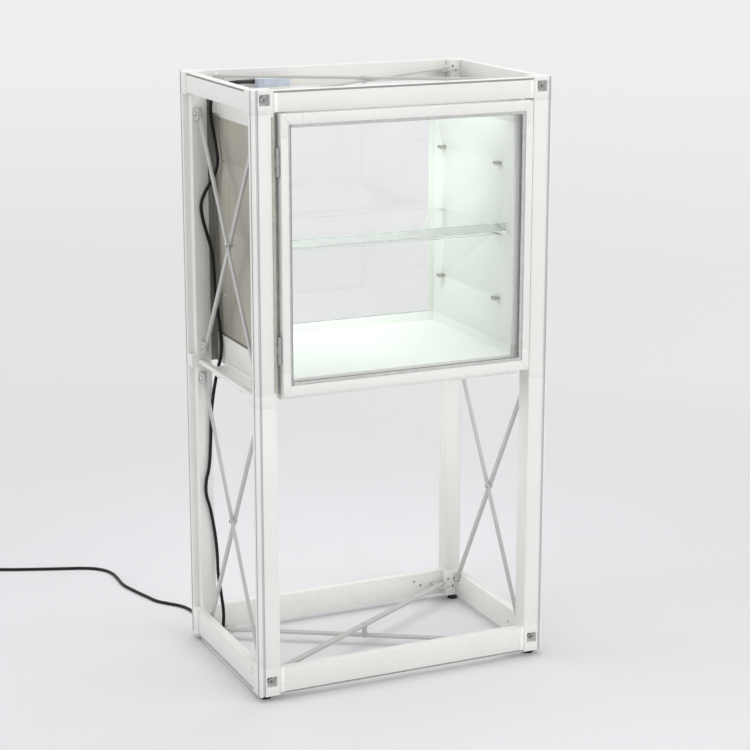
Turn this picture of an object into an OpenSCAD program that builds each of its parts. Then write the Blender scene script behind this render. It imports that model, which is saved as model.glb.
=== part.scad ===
// Pedestal display case: a bolted white post-and-rail frame on four levelling feet.
// A lit glass-fronted case with one shelf fills the upper half of the frame.
// Millimetres, +Z up. The origin is on the floor, under the middle of the frame.
// Front is -Y. The door is hinged on its left side, at -X.

/* [Frame] */
// Width of the frame over its posts, along X
frame_w = 635; // [560:1:760]
// Depth of the frame over its posts, along Y
frame_d = 408; // [380:1:520]
// Height of the frame without its feet
frame_h = 1200; // [1150:1:1400]
// Height of the top of the lower posts above the frame's underside
lower_post_top = 592; // [500:1:594]
// Height of the middle joint blocks, between lower and upper posts
mid_block_h = 26; // [24:1:40]
// Height of the bottom corner blocks
bottom_block_h = 60; // [56:1:80]
// Height of the top corner blocks
top_block_h = 45; // [43:1:60]

/* [Posts] */
// Width of a post's front face, along X
post_w = 44; // [40:0.5:50]
// Depth of a post, along Y
post_d = 40; // [34:0.5:46]
// Width of the thin nose at a post's outer corner
nose_w = 12; // [9:0.5:13]
// Depth of the nose, along Y
nose_d = 20; // [16:0.5:26]
// Radius of the outer corner
nose_r = 5; // [3:0.5:6]
// Depth of the shadow groove beside the nose
groove_depth = 3; // [1.5:0.5:4]
// Distance of the groove from the outer corner
groove_start = 6.5; // [6.5:0.5:7]
// Wall thickness of a post
post_wall = 2.5; // [2:0.5:4]

/* [Rails] */
// Thickness of a rail
rail_t = 18; // [14:0.5:20]
// Height of the top rails
top_rail_h = 40; // [30:0.5:41]
// Height of the bottom rails
bottom_rail_h = 55; // [45:0.5:59]
// Distance of a rail's outer face behind the post's face
rail_inset = 2; // [1:0.5:4]
// Gap between the top rails and the top of the frame
top_rail_gap = 1; // [0:0.5:3]
// Height of the thin strip along a rail's outer edge
edge_strip = 1.5; // [1:0.5:2.5]
// Height of the shadow groove beside that strip
edge_groove_h = 3.5; // [2:0.5:5]
// Wall thickness of a rail
rail_wall = 2; // [1.5:0.5:3]

/* [Braces] */
// Width of a brace bar
brace_w = 10.5; // [7:0.5:12]
// Width of a flat brace bar
flat_brace_w = 14; // [9:0.5:15]
// Thickness of a brace bar
brace_t = 5; // [3:0.5:6]
// Radius of a brace bolt's shank
bolt_r = 2.5; // [1.5:0.25:3]
// Radius of a brace bolt's head
bolt_head_r = 4.5; // [4:0.25:6]
// Height of a brace bolt's head
bolt_head_h = 3; // [2:0.5:4]
// Distance of a side brace's end hole from the post's inner face
brace_end_gap = 12; // [10:0.5:16]
// Height of the lower side crossings above the frame's underside
lower_cross_z = 305; // [280:1:306]
// Height of the lower braces' bottom holes above the frame's underside
lower_hole_z = 40; // [20:1:42]
// Height of the upper side crossings above the frame's underside
upper_cross_z = 876; // [850:1:900]
// Rise of the upper side braces from the crossing to an end hole
upper_brace_rise = 241; // [200:1:250]
// Distance of a flat brace's end hole from the corner block, along X
flat_end_x = 18; // [14:0.5:24]
// Distance of a flat brace's end hole from the corner block, along Y
flat_end_y = 11; // [8:0.5:16]
// Height of the bottom brace's lower bar above the frame's underside
low_bar_z = 7; // [7:0.5:10]
// Height of the bottom brace's upper bar above the frame's underside
high_bar_z = 31; // [22:0.5:40]
// Height of the top flat braces' middle plane below the frame's top
top_cross_drop = 12; // [10:1:20]
// Thickness of the brace lugs
lug_t = 4; // [3:0.5:5]
// Size of a brace lug
lug_size = 24; // [20:1:28]
// Thickness of a middle bar
mid_bar_h = 8; // [6:0.5:10]
// Width of a middle bar
mid_bar_w = 12; // [10:0.5:16]
// Height of the middle bars and of the case above the lower posts
mid_bar_lift = 8; // [5:0.5:14]

/* [Feet] */
// Gap between the floor and the frame's underside
foot_h = 12; // [8:0.5:20]
// Radius of a foot's pad
foot_pad_r = 12; // [9:0.5:16]
// Radius of a foot's stud
foot_stud_r = 4; // [3:0.25:5]
// Length of the stud inside its block
foot_stud_len = 30; // [20:1:40]
// Distance of a foot's axis from the outer face, along X
foot_in_x = 20.5; // [17:0.5:26]
// Distance of a foot's axis from the outer face, along Y
foot_in_y = 26; // [23:0.5:28]

/* [Case] */
// Gap between the case and each post, along X
case_side_gap = 18.5; // [16:0.5:60]
// Distance of the case's front behind the frame's front
case_front_gap = 22; // [22:0.5:30]
// Distance of the case's back in front of the frame's back
case_back_gap = 22; // [22:0.5:40]
// Thickness of a side panel
panel_t = 15; // [10:0.5:18]
// Height of the floor pan
pan_h = 60; // [40:1:80]
// Depth of the pan's floor below its rim
pan_recess = 19; // [10:1:24]
// Height of the roof housing
roof_h = 45; // [35:1:60]
// Height of the light box at the top of the roof housing
light_box_h = 21; // [16:0.5:30]
// Gap between the roof and the top of the frame
roof_gap = 45; // [40:1:60]
// How far pan and roof stand out past the side panels
case_lip = 2; // [1:0.5:4]
// Sheet thickness of pan and roof
sheet_t = 2; // [1.5:0.5:3]
// Thickness of the back glass
back_glass_t = 6; // [4:0.5:8]
// Width of the flange that holds the back glass
back_flange_w = 12; // [8:0.5:20]
// Thickness of that flange
back_flange_t = 4; // [2:0.5:6]
// Thickness of the light diffuser
diffuser_t = 4; // [3:0.5:6]
// Width of the ledge that carries the diffuser
diffuser_ledge = 8; // [5:0.5:12]

/* [Shelf] */
// Thickness of the glass shelf
shelf_t = 6; // [5:0.5:10]
// Distance of the shelf's back edge from the case's back
shelf_back_gap = 42; // [24:1:60]
// Gap between the shelf and each side panel
shelf_side_gap = 2.5; // [2:0.25:3]
// Distance of the shelf's front behind the case's front
shelf_front_gap = 20; // [10:1:30]
// Height of the lip along the shelf's front edge
shelf_lip_h = 16; // [8:1:30]
// Thickness of the lip
shelf_lip_t = 6; // [4:0.5:8]
// Height of the middle row of shelf slots above the frame's underside
slot_mid_z = 885; // [860:1:900]
// Height between rows of shelf slots
slot_pitch = 138; // [100:1:150]
// Length of a shelf slot
slot_l = 16; // [12:0.5:20]
// Height of a shelf slot
slot_h = 5; // [4:0.5:8]
// Distance of the slots from the case's front and back
slot_end_gap = 56; // [52:1:80]
// Reach of a shelf clip inside the case
clip_reach = 10; // [6:0.5:14]
// Thickness of a shelf clip
clip_t = 2; // [1.5:0.25:3]

/* [Door] */
// Gap between the door and each post
door_side_gap = 8; // [8:0.25:12]
// How far the door stands out in front of the posts
door_proud = 13; // [10:0.5:16]
// Gap between the door and the top rail
door_top_gap = 3; // [2:0.5:6]
// Height of the door's lower edge above the lower posts
door_lift = 23; // [4:1:30]
// Thickness of the door frame
door_t = 18; // [16:0.5:20]
// Face width of the door's upright members
stile_w = 15; // [13:0.5:24]
// Face width of the door's top and bottom members
door_rail_w = 20; // [16:0.5:28]
// Length of a door corner piece's legs
door_corner_l = 45; // [32:1:60]
// Thickness of the door glass
door_glass_t = 6; // [4:0.5:8]
// Depth of the groove that holds the glass
glass_groove = 8; // [5:0.5:10]
// Width of the seal that shows round the glass
seal_show = 6.5; // [2:0.5:8]
// Distance of the seal behind the door's front face
seal_in = 2.5; // [2:0.5:4]
// Thickness of the seal on each side of the glass
seal_t = 1.5; // [1:0.25:2]

/* [Hinges] */
// Radius of a hinge knuckle
knuckle_r = 3.6; // [3:0.1:3.8]
// Radius of a hinge pin
hinge_pin_r = 1.8; // [1.2:0.1:2]
// Running clearance round the hinge pins and foot studs
running_gap = 0.05; // [0.02:0.01:0.08]
// Length of one hinge over its three knuckles
hinge_l = 54; // [42:1:70]
// Thickness of a hinge leaf
leaf_t = 1.5; // [1:0.25:2]
// Depth of the pin's axis behind the door's front face
hinge_axis_y = 7; // [5:0.25:9]
// Distance of each hinge from the end of the door
hinge_end = 90; // [70:1:140]

/* [Light] */
// Length of the light driver along X
driver_l = 70; // [50:1:90]
// Depth of the light driver along Y
driver_d = 50; // [40:1:56]
// Height of the light driver
driver_h = 29; // [20:1:30]
// Distance of the driver's left end from the case's left side
driver_side_gap = 77; // [70:1:90]
// Distance of the driver's back from the case's back
driver_back_gap = 12; // [6:1:20]
// Length of the cord's connector
connector_l = 36; // [25:1:40]
// Radius of the cord's connector
connector_r = 4.5; // [4:0.25:5.5]
// Diameter of the cord
cord_dia = 7; // [6:0.5:8]

/* [Hidden] */

$fn = 48;
eps = 0.5;                  // overrun of a cut past the face that it opens
snug = 0.1;                 // clearance of a piece that is set in and stays there
rest_gap = 0.3;             // clearance under a loose piece
bar_gap = 0.2;              // paint gap between two crossed bars
white = [0.92, 0.92, 0.90];
grey = [0.62, 0.62, 0.60];
steel = [0.72, 0.72, 0.72];
glass = [0.80, 0.92, 0.88, 0.35];
black = [0.06, 0.06, 0.06];

// heights above the floor
frame_z = foot_h;
frame_top = frame_z + frame_h;
mid_z = frame_z + lower_post_top;
upper_post_z = mid_z + mid_block_h;
top_block_z = frame_top - top_block_h;
top_rail_z = frame_top - top_rail_gap - top_rail_h;

// half sizes of the frame
half_w = frame_w / 2;
half_d = frame_d / 2;
post_in_x = half_w - post_w;        // inner face of a post, along X
post_in_y = half_d - post_d;        // inner face of a post, along Y
rail_in_x = half_w - rail_inset - rail_t;
rail_in_y = half_d - rail_inset - rail_t;

// shadow groove of a post
groove_end = nose_w;
post_edge_r = 1.5;

// pocket in the face of a corner block
pocket_w = 21;
pocket_h = 21;
pocket_depth = 12;
pocket_gap = 3;              // from the nose to the pocket
pocket_u = nose_w + pocket_gap;
pocket_edge = 8;             // from the block's outer end to the pocket
pocket_bottom_z = frame_z + bottom_block_h / 2 - pocket_h / 2;
pocket_top_z = frame_top - pocket_edge - pocket_h;
bore_play = 2;               // depth of a foot's bore past the end of its stud
corner_bolt_r = 6;
corner_bolt_h = 6;
socket_r = 3;
socket_depth = 3.5;

// side braces
brace_y = post_in_y - brace_end_gap;
side_brace_out = rail_in_x;         // outer face of the outer bar of a pair
nut_r = 4.2;
nut_h = 3;
hole_gap = snug;
lug_foot_t = 3;
lug_foot_w = 16;

// flat braces
flat_x = post_in_x - flat_end_x;
flat_y = post_in_y - flat_end_y;
bottom_low_z = frame_z + low_bar_z;
bottom_high_z = frame_z + high_bar_z;
low_lug_side = 5;                   // reach of a low lug past its hole, beside the cord
top_flat_z = frame_top - top_cross_drop;

// middle bars
mid_bar_cover = 5;           // how far a side bar reaches past the rails' inner faces
mid_bar_out = rail_in_x + mid_bar_cover;
mid_bar_z = mid_z + mid_bar_lift;

// case
case_half = post_in_x - case_side_gap;
case_in = case_half - panel_t;
case_front = -half_d + case_front_gap;
case_back = half_d - case_back_gap;
pan_z = mid_bar_z;
rim_z = pan_z + pan_h;
floor_z = rim_z - pan_recess;
roof_top = frame_top - roof_gap;
roof_z = roof_top - roof_h;
light_z = roof_top - light_box_h;
lip_x = case_half + case_lip;
back_wall_t = back_glass_t + back_flange_t;
glass_y = case_back - back_glass_t;
bracket_l = 40;
bracket_reach = 18;
bracket_t = lug_t;
bracket_end_gap = 119;       // from the case's front or back to a bracket's middle
bracket_y = case_back - bracket_end_gap;
led_w = 12;
led_t = 2;
led_end_gap = 20;            // from a light strip's end to the side panel
led_pitch = 100;

// shelf
slot_rows = [-1, 0, 1];
slot_y = case_back - slot_end_gap;
slot_z = frame_z + slot_mid_z;
clip_z = slot_z - slot_h / 2 + rest_gap;
shelf_z = clip_z + clip_t + rest_gap;
shelf_half = case_in - shelf_side_gap;
shelf_front = case_front + shelf_front_gap;
shelf_back = case_back - shelf_back_gap;
clip_play = 1;               // gap between a clip and the end of its slot
clip_w = slot_l - 2 * clip_play;
clip_end_gap = 1;            // from a clip's outer end to the panel's outer face

// door
door_half = post_in_x - door_side_gap;
door_front = -half_d - door_proud;
door_back = door_front + door_t;
door_z = mid_z + door_lift;
door_top = top_rail_z - door_top_gap;
door_h = door_top - door_z;
groove_w = door_glass_t + 2 * seal_t;
groove_y = door_front + seal_in;
glass_play = 2;              // gap between the glass's edge and the groove's floor
glass_in = glass_groove - glass_play;

// hinges
hinge_x = -post_in_x + door_side_gap / 2;
hinge_y = door_front + hinge_axis_y;
knuckle_gap = 0.4;
knuckle_l = (hinge_l - 2 * knuckle_gap) / 3;
hinge_zs = [door_z + hinge_end, door_top - hinge_end];
leaf_l = 9;                  // reach of a door leaf behind the pin
frame_leaf_in = 12;          // reach of a frame leaf behind the posts' front
frame_leaf_end = -half_d + frame_leaf_in;

// light driver and its cord
cord_r = cord_dia / 2;
driver_z = roof_top;
driver_x = case_half - driver_side_gap;
driver_y = case_back - driver_back_gap - driver_d;
connector_drop = 7;          // from the driver's top to the connector's axis
connector_z = driver_z + driver_h - connector_drop;
connector_y = driver_y + driver_d / 2;
connector_end = -driver_x - connector_l;
cord_sides = 10;
cord_clip_back_gap = 22;
cord_clip_y = case_back - cord_clip_back_gap;
cord_clip_w = 24;
cord_clip_arm = 4;
cord_clip_reach = 10;
cord_clip_edge = 7;          // from the roof's edges to the clip's ends

// The cord's route, from its connector over the roof, down the frame and across the floor.
cord_route = [
    [connector_end, connector_y, connector_z],
    [-230, 146, 1188],
    [-246, 147, 1183],
    [-260, 147, 1173],
    [-269, 146, 1158],
    [-272, 145, 1138],
    [-270, 146, 1112],
    [-266, 148, 1090],
    [-264, 140, 1062],
    [-264, 132, 1036],
    [-266, 138, 1014],
    [-273, 148, 992],
    [-285, 156, 966],
    [-292, 157, 944],
    [-290, 157, 918],
    [-281, 156, 882],
    [-273, 154, 850],
    [-270, 152, 812],
    [-268, 150, 760],
    [-263, 148, 712],
    [-261, 142, 672],
    [-264, 134, 632],
    [-268, 140, 606],
    [-269, 150, 584],
    [-273, 156, 552],
    [-279, 157, 505],
    [-282, 157, 446],
    [-287, 157, 386],
    [-294, 157, 354],
    [-294, 157, 328],
    [-287, 157, 300],
    [-281, 157, 268],
    [-276, 157, 234],
    [-274, 153, 195],
    [-275, 146, 149],
    [-272, 139, 109],
    [-269, 135, 71],
    [-269, 137, 40],
    [-268, 148, 20],
    [-265, 165, 8],
    [-262, 184, 3.5],
    [-261, 206, 3.5],
    [-264, 256, 3.5],
    [-270, 320, 3.5],
    [-282, 366, 3.5],
    [-304, 396, 3.5],
    [-322, 420, 3.5],
    [-336, 462, 3.5],
    [-350, 510, 3.5],
    [-360, 556, 3.5],
    [-359, 606, 3.5],
    [-362, 646, 3.5],
    [-378, 678, 3.5],
    [-410, 701, 3.5],
    [-456, 719, 3.5],
    [-524, 745, 3.5],
    [-592, 774, 3.5],
    [-620, 789, 3.5],
    [-648, 811, 3.5]
];

// short tail from the coil to the plug
cord_tail = [
    [-713, 780, 10],
    [-714, 764, 10],
    [-714, 746, 10],
    [-714, 728, 10]
];

// coil of the cord's spare length, and the plug beside it
coil_mean_r = 40;
coil_half_t = cord_dia;
coil_x = -673;
coil_y = 780;
tie_w = 6;
tie_t = 1.2;
plug_l = 36;
plug_w = 26;
plug_h = 20;
plug_at = cord_tail[len(cord_tail) - 1];
pin_r = 2.4;
pin_l = 19;
pin_pitch = 19;

// ---------------------------------------------------------------- shared shapes

// A copy of the children in the frame's corner: side is -1 left or 1 right, depth -1 front or 1 back.
// The children are drawn from the outer corner inwards, with +X and +Y towards the middle.
module in_corner(side, depth) {
    translate([side * half_w, depth * half_d, 0])
        mirror([side > 0 ? 1 : 0, 0, 0])
            mirror([0, depth > 0 ? 1 : 0, 0])
                children();
}

module all_corners() {
    for (side = [-1, 1], depth = [-1, 1])
        in_corner(side, depth) children();
}

module on_side(side) {
    mirror([side < 0 ? 1 : 0, 0, 0]) children();
}

// The right side as drawn, or the left as the right turned half way round.
module half_turn(side) {
    rotate([0, 0, side > 0 ? 0 : 180]) children();
}

// A box between two opposite corners.
module span(low, high) {
    translate(low) cube(high - low);
}

function corner_arc(r, steps) =
    [for (i = [0 : steps]) [r - r * cos(90 * i / steps), r - r * sin(90 * i / steps)]];

// Outline of a post, from its outer corner. The nose carries a shadow groove on both outer faces.
module post_outline(full) {
    side_depth = full ? post_d : nose_d;
    polygon(concat(
        corner_arc(nose_r, 6),
        [
            [groove_start, 0],
            [groove_start, groove_depth],
            [groove_end, groove_depth],
            [groove_end, 0],
            [post_w - post_edge_r, 0],
            [post_w, post_edge_r],
            [post_w, post_d],
            [full ? 0 : nose_w, post_d],
            [full ? 0 : nose_w, side_depth],
            [0, side_depth],
            [0, groove_end],
            [groove_depth, groove_end],
            [groove_depth, groove_start],
            [0, groove_start]
        ]));
}

module post_bore_outline() {
    translate([nose_w + post_wall, groove_depth + post_wall])
        square([post_w - nose_w - 2 * post_wall, post_d - groove_depth - 2 * post_wall]);
}

module post(z0, z1) {
    translate([0, 0, z0])
        linear_extrude(z1 - z0)
            difference() {
                post_outline(false);
                post_bore_outline();
            }
}

module lower_post(side, depth) {
    color(white) in_corner(side, depth) post(frame_z + bottom_block_h, mid_z);
}

module upper_post(side, depth) {
    color(white) in_corner(side, depth) post(upper_post_z, top_block_z);
}

module block(z0, h) {
    translate([0, 0, z0]) linear_extrude(h) post_outline(true);
}

// Square pocket in the outer face of a corner block.
module pocket(z0) {
    span([pocket_u, -eps, z0], [pocket_u + pocket_w, pocket_depth, z0 + pocket_h]);
}

module foot_bore() {
    translate([foot_in_x, foot_in_y, frame_z - eps])
        cylinder(h = foot_stud_len + bore_play + eps, r = foot_stud_r + running_gap);
}

// Outline across a rail: x runs in from its outer face, y runs from its edge at the top or
// underside of the frame. A shadow groove in the face lies beside that edge, as on the posts.
module rail_outline(h) {
    groove_top = edge_strip + edge_groove_h;
    difference() {
        polygon([
            [0, 0],
            [0, edge_strip],
            [groove_depth, edge_strip],
            [groove_depth, groove_top],
            [0, groove_top],
            [0, h],
            [rail_t, h],
            [rail_t, 0]
        ]);
        translate([groove_depth + rail_wall, rail_wall])
            square([rail_t - groove_depth - 2 * rail_wall, h - 2 * rail_wall]);
    }
}

// A rail along X with its outer face at y = 0, towards -Y. It rises from z = 0, or hangs from it.
module rail(length, h, rises) {
    mirror([0, 0, rises ? 0 : 1])
        translate([-length / 2, 0, 0])
            rotate([90, 0, 90]) linear_extrude(length) rail_outline(h);
}

module rail_x(depth, z, h, rises) {
    mirror([0, depth > 0 ? 1 : 0, 0])
        translate([0, rail_inset - half_d, z]) rail(2 * post_in_x, h, rises);
}

module rail_y(side, z, h, rises) {
    mirror([side > 0 ? 1 : 0, 0, 0])
        translate([rail_inset - half_w, 0, z]) rotate([0, 0, -90]) rail(2 * post_in_y, h, rises);
}

// ---------------------------------------------------------------- frame

module bottom_corner_blocks() {
    color(white) all_corners() difference() {
        block(frame_z, bottom_block_h);
        pocket(pocket_bottom_z);
        foot_bore();
    }
}

module middle_joint_blocks() {
    color(white) all_corners() block(mid_z, mid_block_h);
}

module top_corner_blocks() {
    color(white) all_corners() difference() {
        block(top_block_z, top_block_h);
        pocket(pocket_top_z);
    }
}

// Socket-head bolt in each pocket of the corner blocks.
module corner_bolts() {
    color(steel) all_corners()
        for (z0 = [pocket_bottom_z, pocket_top_z])
            translate([pocket_u + pocket_w / 2, pocket_depth, z0 + pocket_h / 2])
                rotate([90, 0, 0])
                    difference() {
                        cylinder(h = corner_bolt_h, r = corner_bolt_r);
                        translate([0, 0, corner_bolt_h - socket_depth])
                            cylinder(h = socket_depth + eps, r = socket_r, $fn = 6);
                    }
}

module bottom_rail_x(depth) { color(white) rail_x(depth, frame_z, bottom_rail_h, true); }
module bottom_rail_y(side) { color(white) rail_y(side, frame_z, bottom_rail_h, true); }
module top_rail_x(depth) { color(white) rail_x(depth, frame_top - top_rail_gap, top_rail_h, false); }
module top_rail_y(side) { color(white) rail_y(side, frame_top - top_rail_gap, top_rail_h, false); }

module bottom_rail_front() { bottom_rail_x(-1); }
module bottom_rail_back() { bottom_rail_x(1); }
module bottom_rail_left() { bottom_rail_y(-1); }
module bottom_rail_right() { bottom_rail_y(1); }
module top_rail_front() { top_rail_x(-1); }
module top_rail_back() { top_rail_x(1); }
module top_rail_left() { top_rail_y(-1); }
module top_rail_right() { top_rail_y(1); }

// Three flat bars that tie the middle joint blocks together. The front has none.
module middle_bars() {
    color(white) {
        for (side = [-1, 1])
            on_side(side)
                span([mid_bar_out - mid_bar_w, -post_in_y, mid_bar_z],
                     [mid_bar_out, post_in_y, mid_bar_z + mid_bar_h]);
        span([-post_in_x, rail_in_y, mid_bar_z], [post_in_x, rail_in_y + mid_bar_w, mid_bar_z + mid_bar_h]);
    }
}

module foot(side, depth) {
    color(black) in_corner(side, depth) translate([foot_in_x, foot_in_y, 0]) {
        cylinder(h = foot_h - rest_gap, r = foot_pad_r);
        cylinder(h = foot_h + foot_stud_len, r = foot_stud_r);
    }
}

// ---------------------------------------------------------------- braces

// A flat bar from one hole to the next in the XY plane, with round ends and three bolt holes.
module brace_bar(from, to, thick = brace_t, wide = brace_w) {
    run = to - from;
    len = norm(run);
    translate([from[0], from[1], 0])
        rotate([0, 0, atan2(run[1], run[0])])
            difference() {
                union() {
                    span([0, -wide / 2, 0], [len, wide / 2, thick]);
                    cylinder(h = thick, r = wide / 2);
                    translate([len, 0, 0]) cylinder(h = thick, r = wide / 2);
                }
                for (x = [0, len / 2, len])
                    translate([x, 0, -eps]) cylinder(h = thick + 2 * eps, r = bolt_r + hole_gap);
            }
}

// Turns the XY plane into the plane of a side brace: x becomes Y, y becomes Z, z becomes X.
module in_side_plane(side, x) {
    half_turn(side) translate([x, 0, 0]) rotate([90, 0, 90]) children();
}

// Two crossed bars on one side. The outer bar lies on the rail's inner face.
module side_brace(side, cross_z, rise) {
    color(white) {
        in_side_plane(side, side_brace_out - brace_t + bar_gap)
            brace_bar([brace_y, cross_z - rise], [-brace_y, cross_z + rise], brace_t - bar_gap);
        in_side_plane(side, side_brace_out - 2 * brace_t)
            brace_bar([-brace_y, cross_z - rise], [brace_y, cross_z + rise]);
    }
}

lower_rise = lower_cross_z - lower_hole_z;
lower_z = frame_z + lower_cross_z;
upper_z = frame_z + upper_cross_z;

module lower_brace_left() { side_brace(-1, lower_z, lower_rise); }
module lower_brace_right() { side_brace(1, lower_z, lower_rise); }
module upper_brace_left() { side_brace(-1, upper_z, upper_brace_rise); }
module upper_brace_right() { side_brace(1, upper_z, upper_brace_rise); }

// Flat bar with its underside at z, from the front left to the back right or, turned, across it.
module flat_bar(z, turned, thick = brace_t) {
    turn = turned ? -1 : 1;
    translate([0, 0, z])
        brace_bar([-flat_x, -turn * flat_y], [flat_x, turn * flat_y], thick, flat_brace_w);
}

module bottom_brace() {
    color(white) {
        flat_bar(bottom_high_z, false);
        flat_bar(bottom_low_z, true);
    }
}

module top_brace() {
    color(white) {
        flat_bar(top_flat_z - brace_t, false, brace_t - bar_gap);
        flat_bar(top_flat_z, true);
    }
}

// Angle lug on a post's inner face: the brace's end is bolted to its plate.
module side_lug(side, depth, z, x) {
    half_turn(side)
        mirror([0, depth < 0 ? 1 : 0, 0])
            difference() {
                union() {
                    span([x, brace_y - lug_size / 2, z - lug_size / 2],
                         [x + lug_t, post_in_y, z + lug_size / 2]);
                    span([x + lug_t - lug_foot_w, post_in_y - lug_foot_t, z - lug_size / 2],
                         [x + lug_t, post_in_y, z + lug_size / 2]);
                }
                translate([x - eps, brace_y, z])
                    rotate([0, 90, 0]) cylinder(h = lug_t + 2 * eps, r = bolt_r + hole_gap);
            }
}

// Spacer that holds the inner bar off the rail.
module side_spacer(side, y, z) {
    half_turn(side)
        translate([side_brace_out - brace_t, y, z])
            rotate([0, 90, 0])
                difference() {
                    cylinder(h = brace_t, r = brace_w / 2);
                    translate([0, 0, -eps]) cylinder(h = brace_t + 2 * eps, r = bolt_r + hole_gap);
                }
}

// Flat lug on a rail's inner face, under a flat brace's end, as far out as reach_x.
module flat_lug(side, depth, top_z, reach_x = post_in_x) {
    on_side(side)
        mirror([0, depth < 0 ? 1 : 0, 0])
            difference() {
                span([flat_x - lug_size / 2, flat_y - lug_size / 2, top_z - lug_t],
                     [reach_x, rail_in_y, top_z]);
                translate([flat_x, flat_y, top_z - lug_t - eps])
                    cylinder(h = lug_t + 2 * eps, r = bolt_r + hole_gap);
            }
}

module brace_lugs() {
    color(white) {
        for (side = [-1, 1]) {
            // upper ends of the lower braces
            side_lug(side, -1, lower_z + lower_rise, side_brace_out);
            side_lug(side, 1, lower_z + lower_rise, side_brace_out - brace_t);
            side_spacer(side, -brace_y, lower_z - lower_rise);
            // both ends of the upper braces
            for (up = [-1, 1]) {
                side_lug(side, -up, upper_z + up * upper_brace_rise, side_brace_out);
                side_lug(side, up, upper_z + up * upper_brace_rise, side_brace_out - brace_t);
            }
            // ends of the flat braces
            flat_lug(side, side, bottom_high_z);
            flat_lug(side, -side, bottom_low_z, flat_x + low_lug_side);
            flat_lug(side, side, top_flat_z - brace_t);
            flat_lug(side, -side, top_flat_z);
        }
        // spacer between the bottom brace's bars
        translate([0, 0, bottom_low_z + brace_t])
            difference() {
                cylinder(h = bottom_high_z - bottom_low_z - brace_t, r = brace_w / 2);
                translate([0, 0, -eps])
                    cylinder(h = bottom_high_z - bottom_low_z - brace_t + 2 * eps, r = bolt_r + hole_gap);
            }
    }
}

// Button-head bolt along +Z through a stack of parts, with a nut on the far side.
module bolt(stack) {
    translate([0, 0, -bolt_head_h]) cylinder(h = bolt_head_h, r = bolt_head_r);
    cylinder(h = stack + nut_h, r = bolt_r);
    translate([0, 0, stack]) cylinder(h = nut_h, r = nut_r);
}

// Bolt along the side's outward direction, from the inner face x.
module side_bolt(side, x, y, z, stack) {
    half_turn(side) translate([x, y, z]) rotate([0, 90, 0]) bolt(stack);
}

// Bolt that ends in the rail's inner wall, with no nut to be seen.
module side_rail_bolt(side, x, y, z, stack) {
    half_turn(side) translate([x, y, z]) rotate([0, 90, 0]) {
        translate([0, 0, -bolt_head_h]) cylinder(h = bolt_head_h, r = bolt_head_r);
        cylinder(h = stack, r = bolt_r);
    }
}

// Upright bolt with its head on top, at z.
module flat_bolt(x, y, z, stack) {
    translate([x, y, z]) mirror([0, 0, 1]) bolt(stack);
}

module brace_bolts() {
    inner = side_brace_out - 2 * brace_t;
    outer = side_brace_out - brace_t;
    color(steel) {
        for (side = [-1, 1]) {
            for (z = [lower_z, upper_z])
                side_bolt(side, inner, 0, z, 2 * brace_t);
            side_bolt(side, outer, -brace_y, lower_z + lower_rise, brace_t + lug_t);
            side_bolt(side, inner, brace_y, lower_z + lower_rise, brace_t + lug_t);
            side_rail_bolt(side, outer, brace_y, lower_z - lower_rise, brace_t);
            side_rail_bolt(side, inner, -brace_y, lower_z - lower_rise, 2 * brace_t);
            for (up = [-1, 1]) {
                side_bolt(side, outer, -up * brace_y, upper_z + up * upper_brace_rise, brace_t + lug_t);
                side_bolt(side, inner, up * brace_y, upper_z + up * upper_brace_rise, brace_t + lug_t);
            }
        }
        flat_bolt(0, 0, bottom_high_z + brace_t, bottom_high_z - bottom_low_z + brace_t);
        flat_bolt(0, 0, top_flat_z + brace_t, 2 * brace_t);
        for (side = [-1, 1]) {
            flat_bolt(side * flat_x, side * flat_y, bottom_high_z + brace_t, brace_t + lug_t);
            flat_bolt(side * flat_x, -side * flat_y, bottom_low_z + brace_t, brace_t + lug_t);
            flat_bolt(side * flat_x, side * flat_y, top_flat_z, brace_t + lug_t);
            flat_bolt(side * flat_x, -side * flat_y, top_flat_z + brace_t, brace_t + lug_t);
        }
    }
}

// ---------------------------------------------------------------- case

// Plates under the pan and the middle side bars, which carry the case.
module case_brackets() {
    color(white)
        for (side = [-1, 1], depth = [-1, 1])
            on_side(side)
                span([lip_x - bracket_reach, depth * bracket_y - bracket_l / 2, pan_z - bracket_t],
                     [mid_bar_out, depth * bracket_y + bracket_l / 2, pan_z]);
}

// Shallow tray of folded sheet. Its floor is the case's floor and its rim carries the panels.
module floor_pan() {
    color(white) difference() {
        span([-lip_x, case_front, pan_z], [lip_x, case_back, rim_z]);
        span([-case_in, case_front - eps, floor_z], [case_in, case_back - back_wall_t, rim_z + eps]);
        span([-lip_x + sheet_t, case_front + sheet_t, pan_z - eps],
             [lip_x - sheet_t, case_back - sheet_t, floor_z - sheet_t]);
    }
}

// Shelf slots through a side panel at x.
module slots() {
    for (row = slot_rows, depth = [-1, 1])
        span([case_in - eps, depth * slot_y - slot_l / 2, slot_z + row * slot_pitch - slot_h / 2],
             [case_half + eps, depth * slot_y + slot_l / 2, slot_z + row * slot_pitch + slot_h / 2]);
}

module side_panel(side) {
    color(white) on_side(side) difference() {
        union() {
            span([case_in, case_front, rim_z], [case_half, case_back, roof_z]);
            span([case_in - back_flange_w, glass_y - back_flange_t, rim_z], [case_in, glass_y, roof_z]);
        }
        slots();
    }
}

module side_panel_left() { side_panel(-1); }
module side_panel_right() { side_panel(1); }

module back_glass() {
    color(glass) span([-case_in, glass_y, rim_z], [case_in, case_back, roof_z]);
}

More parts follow.
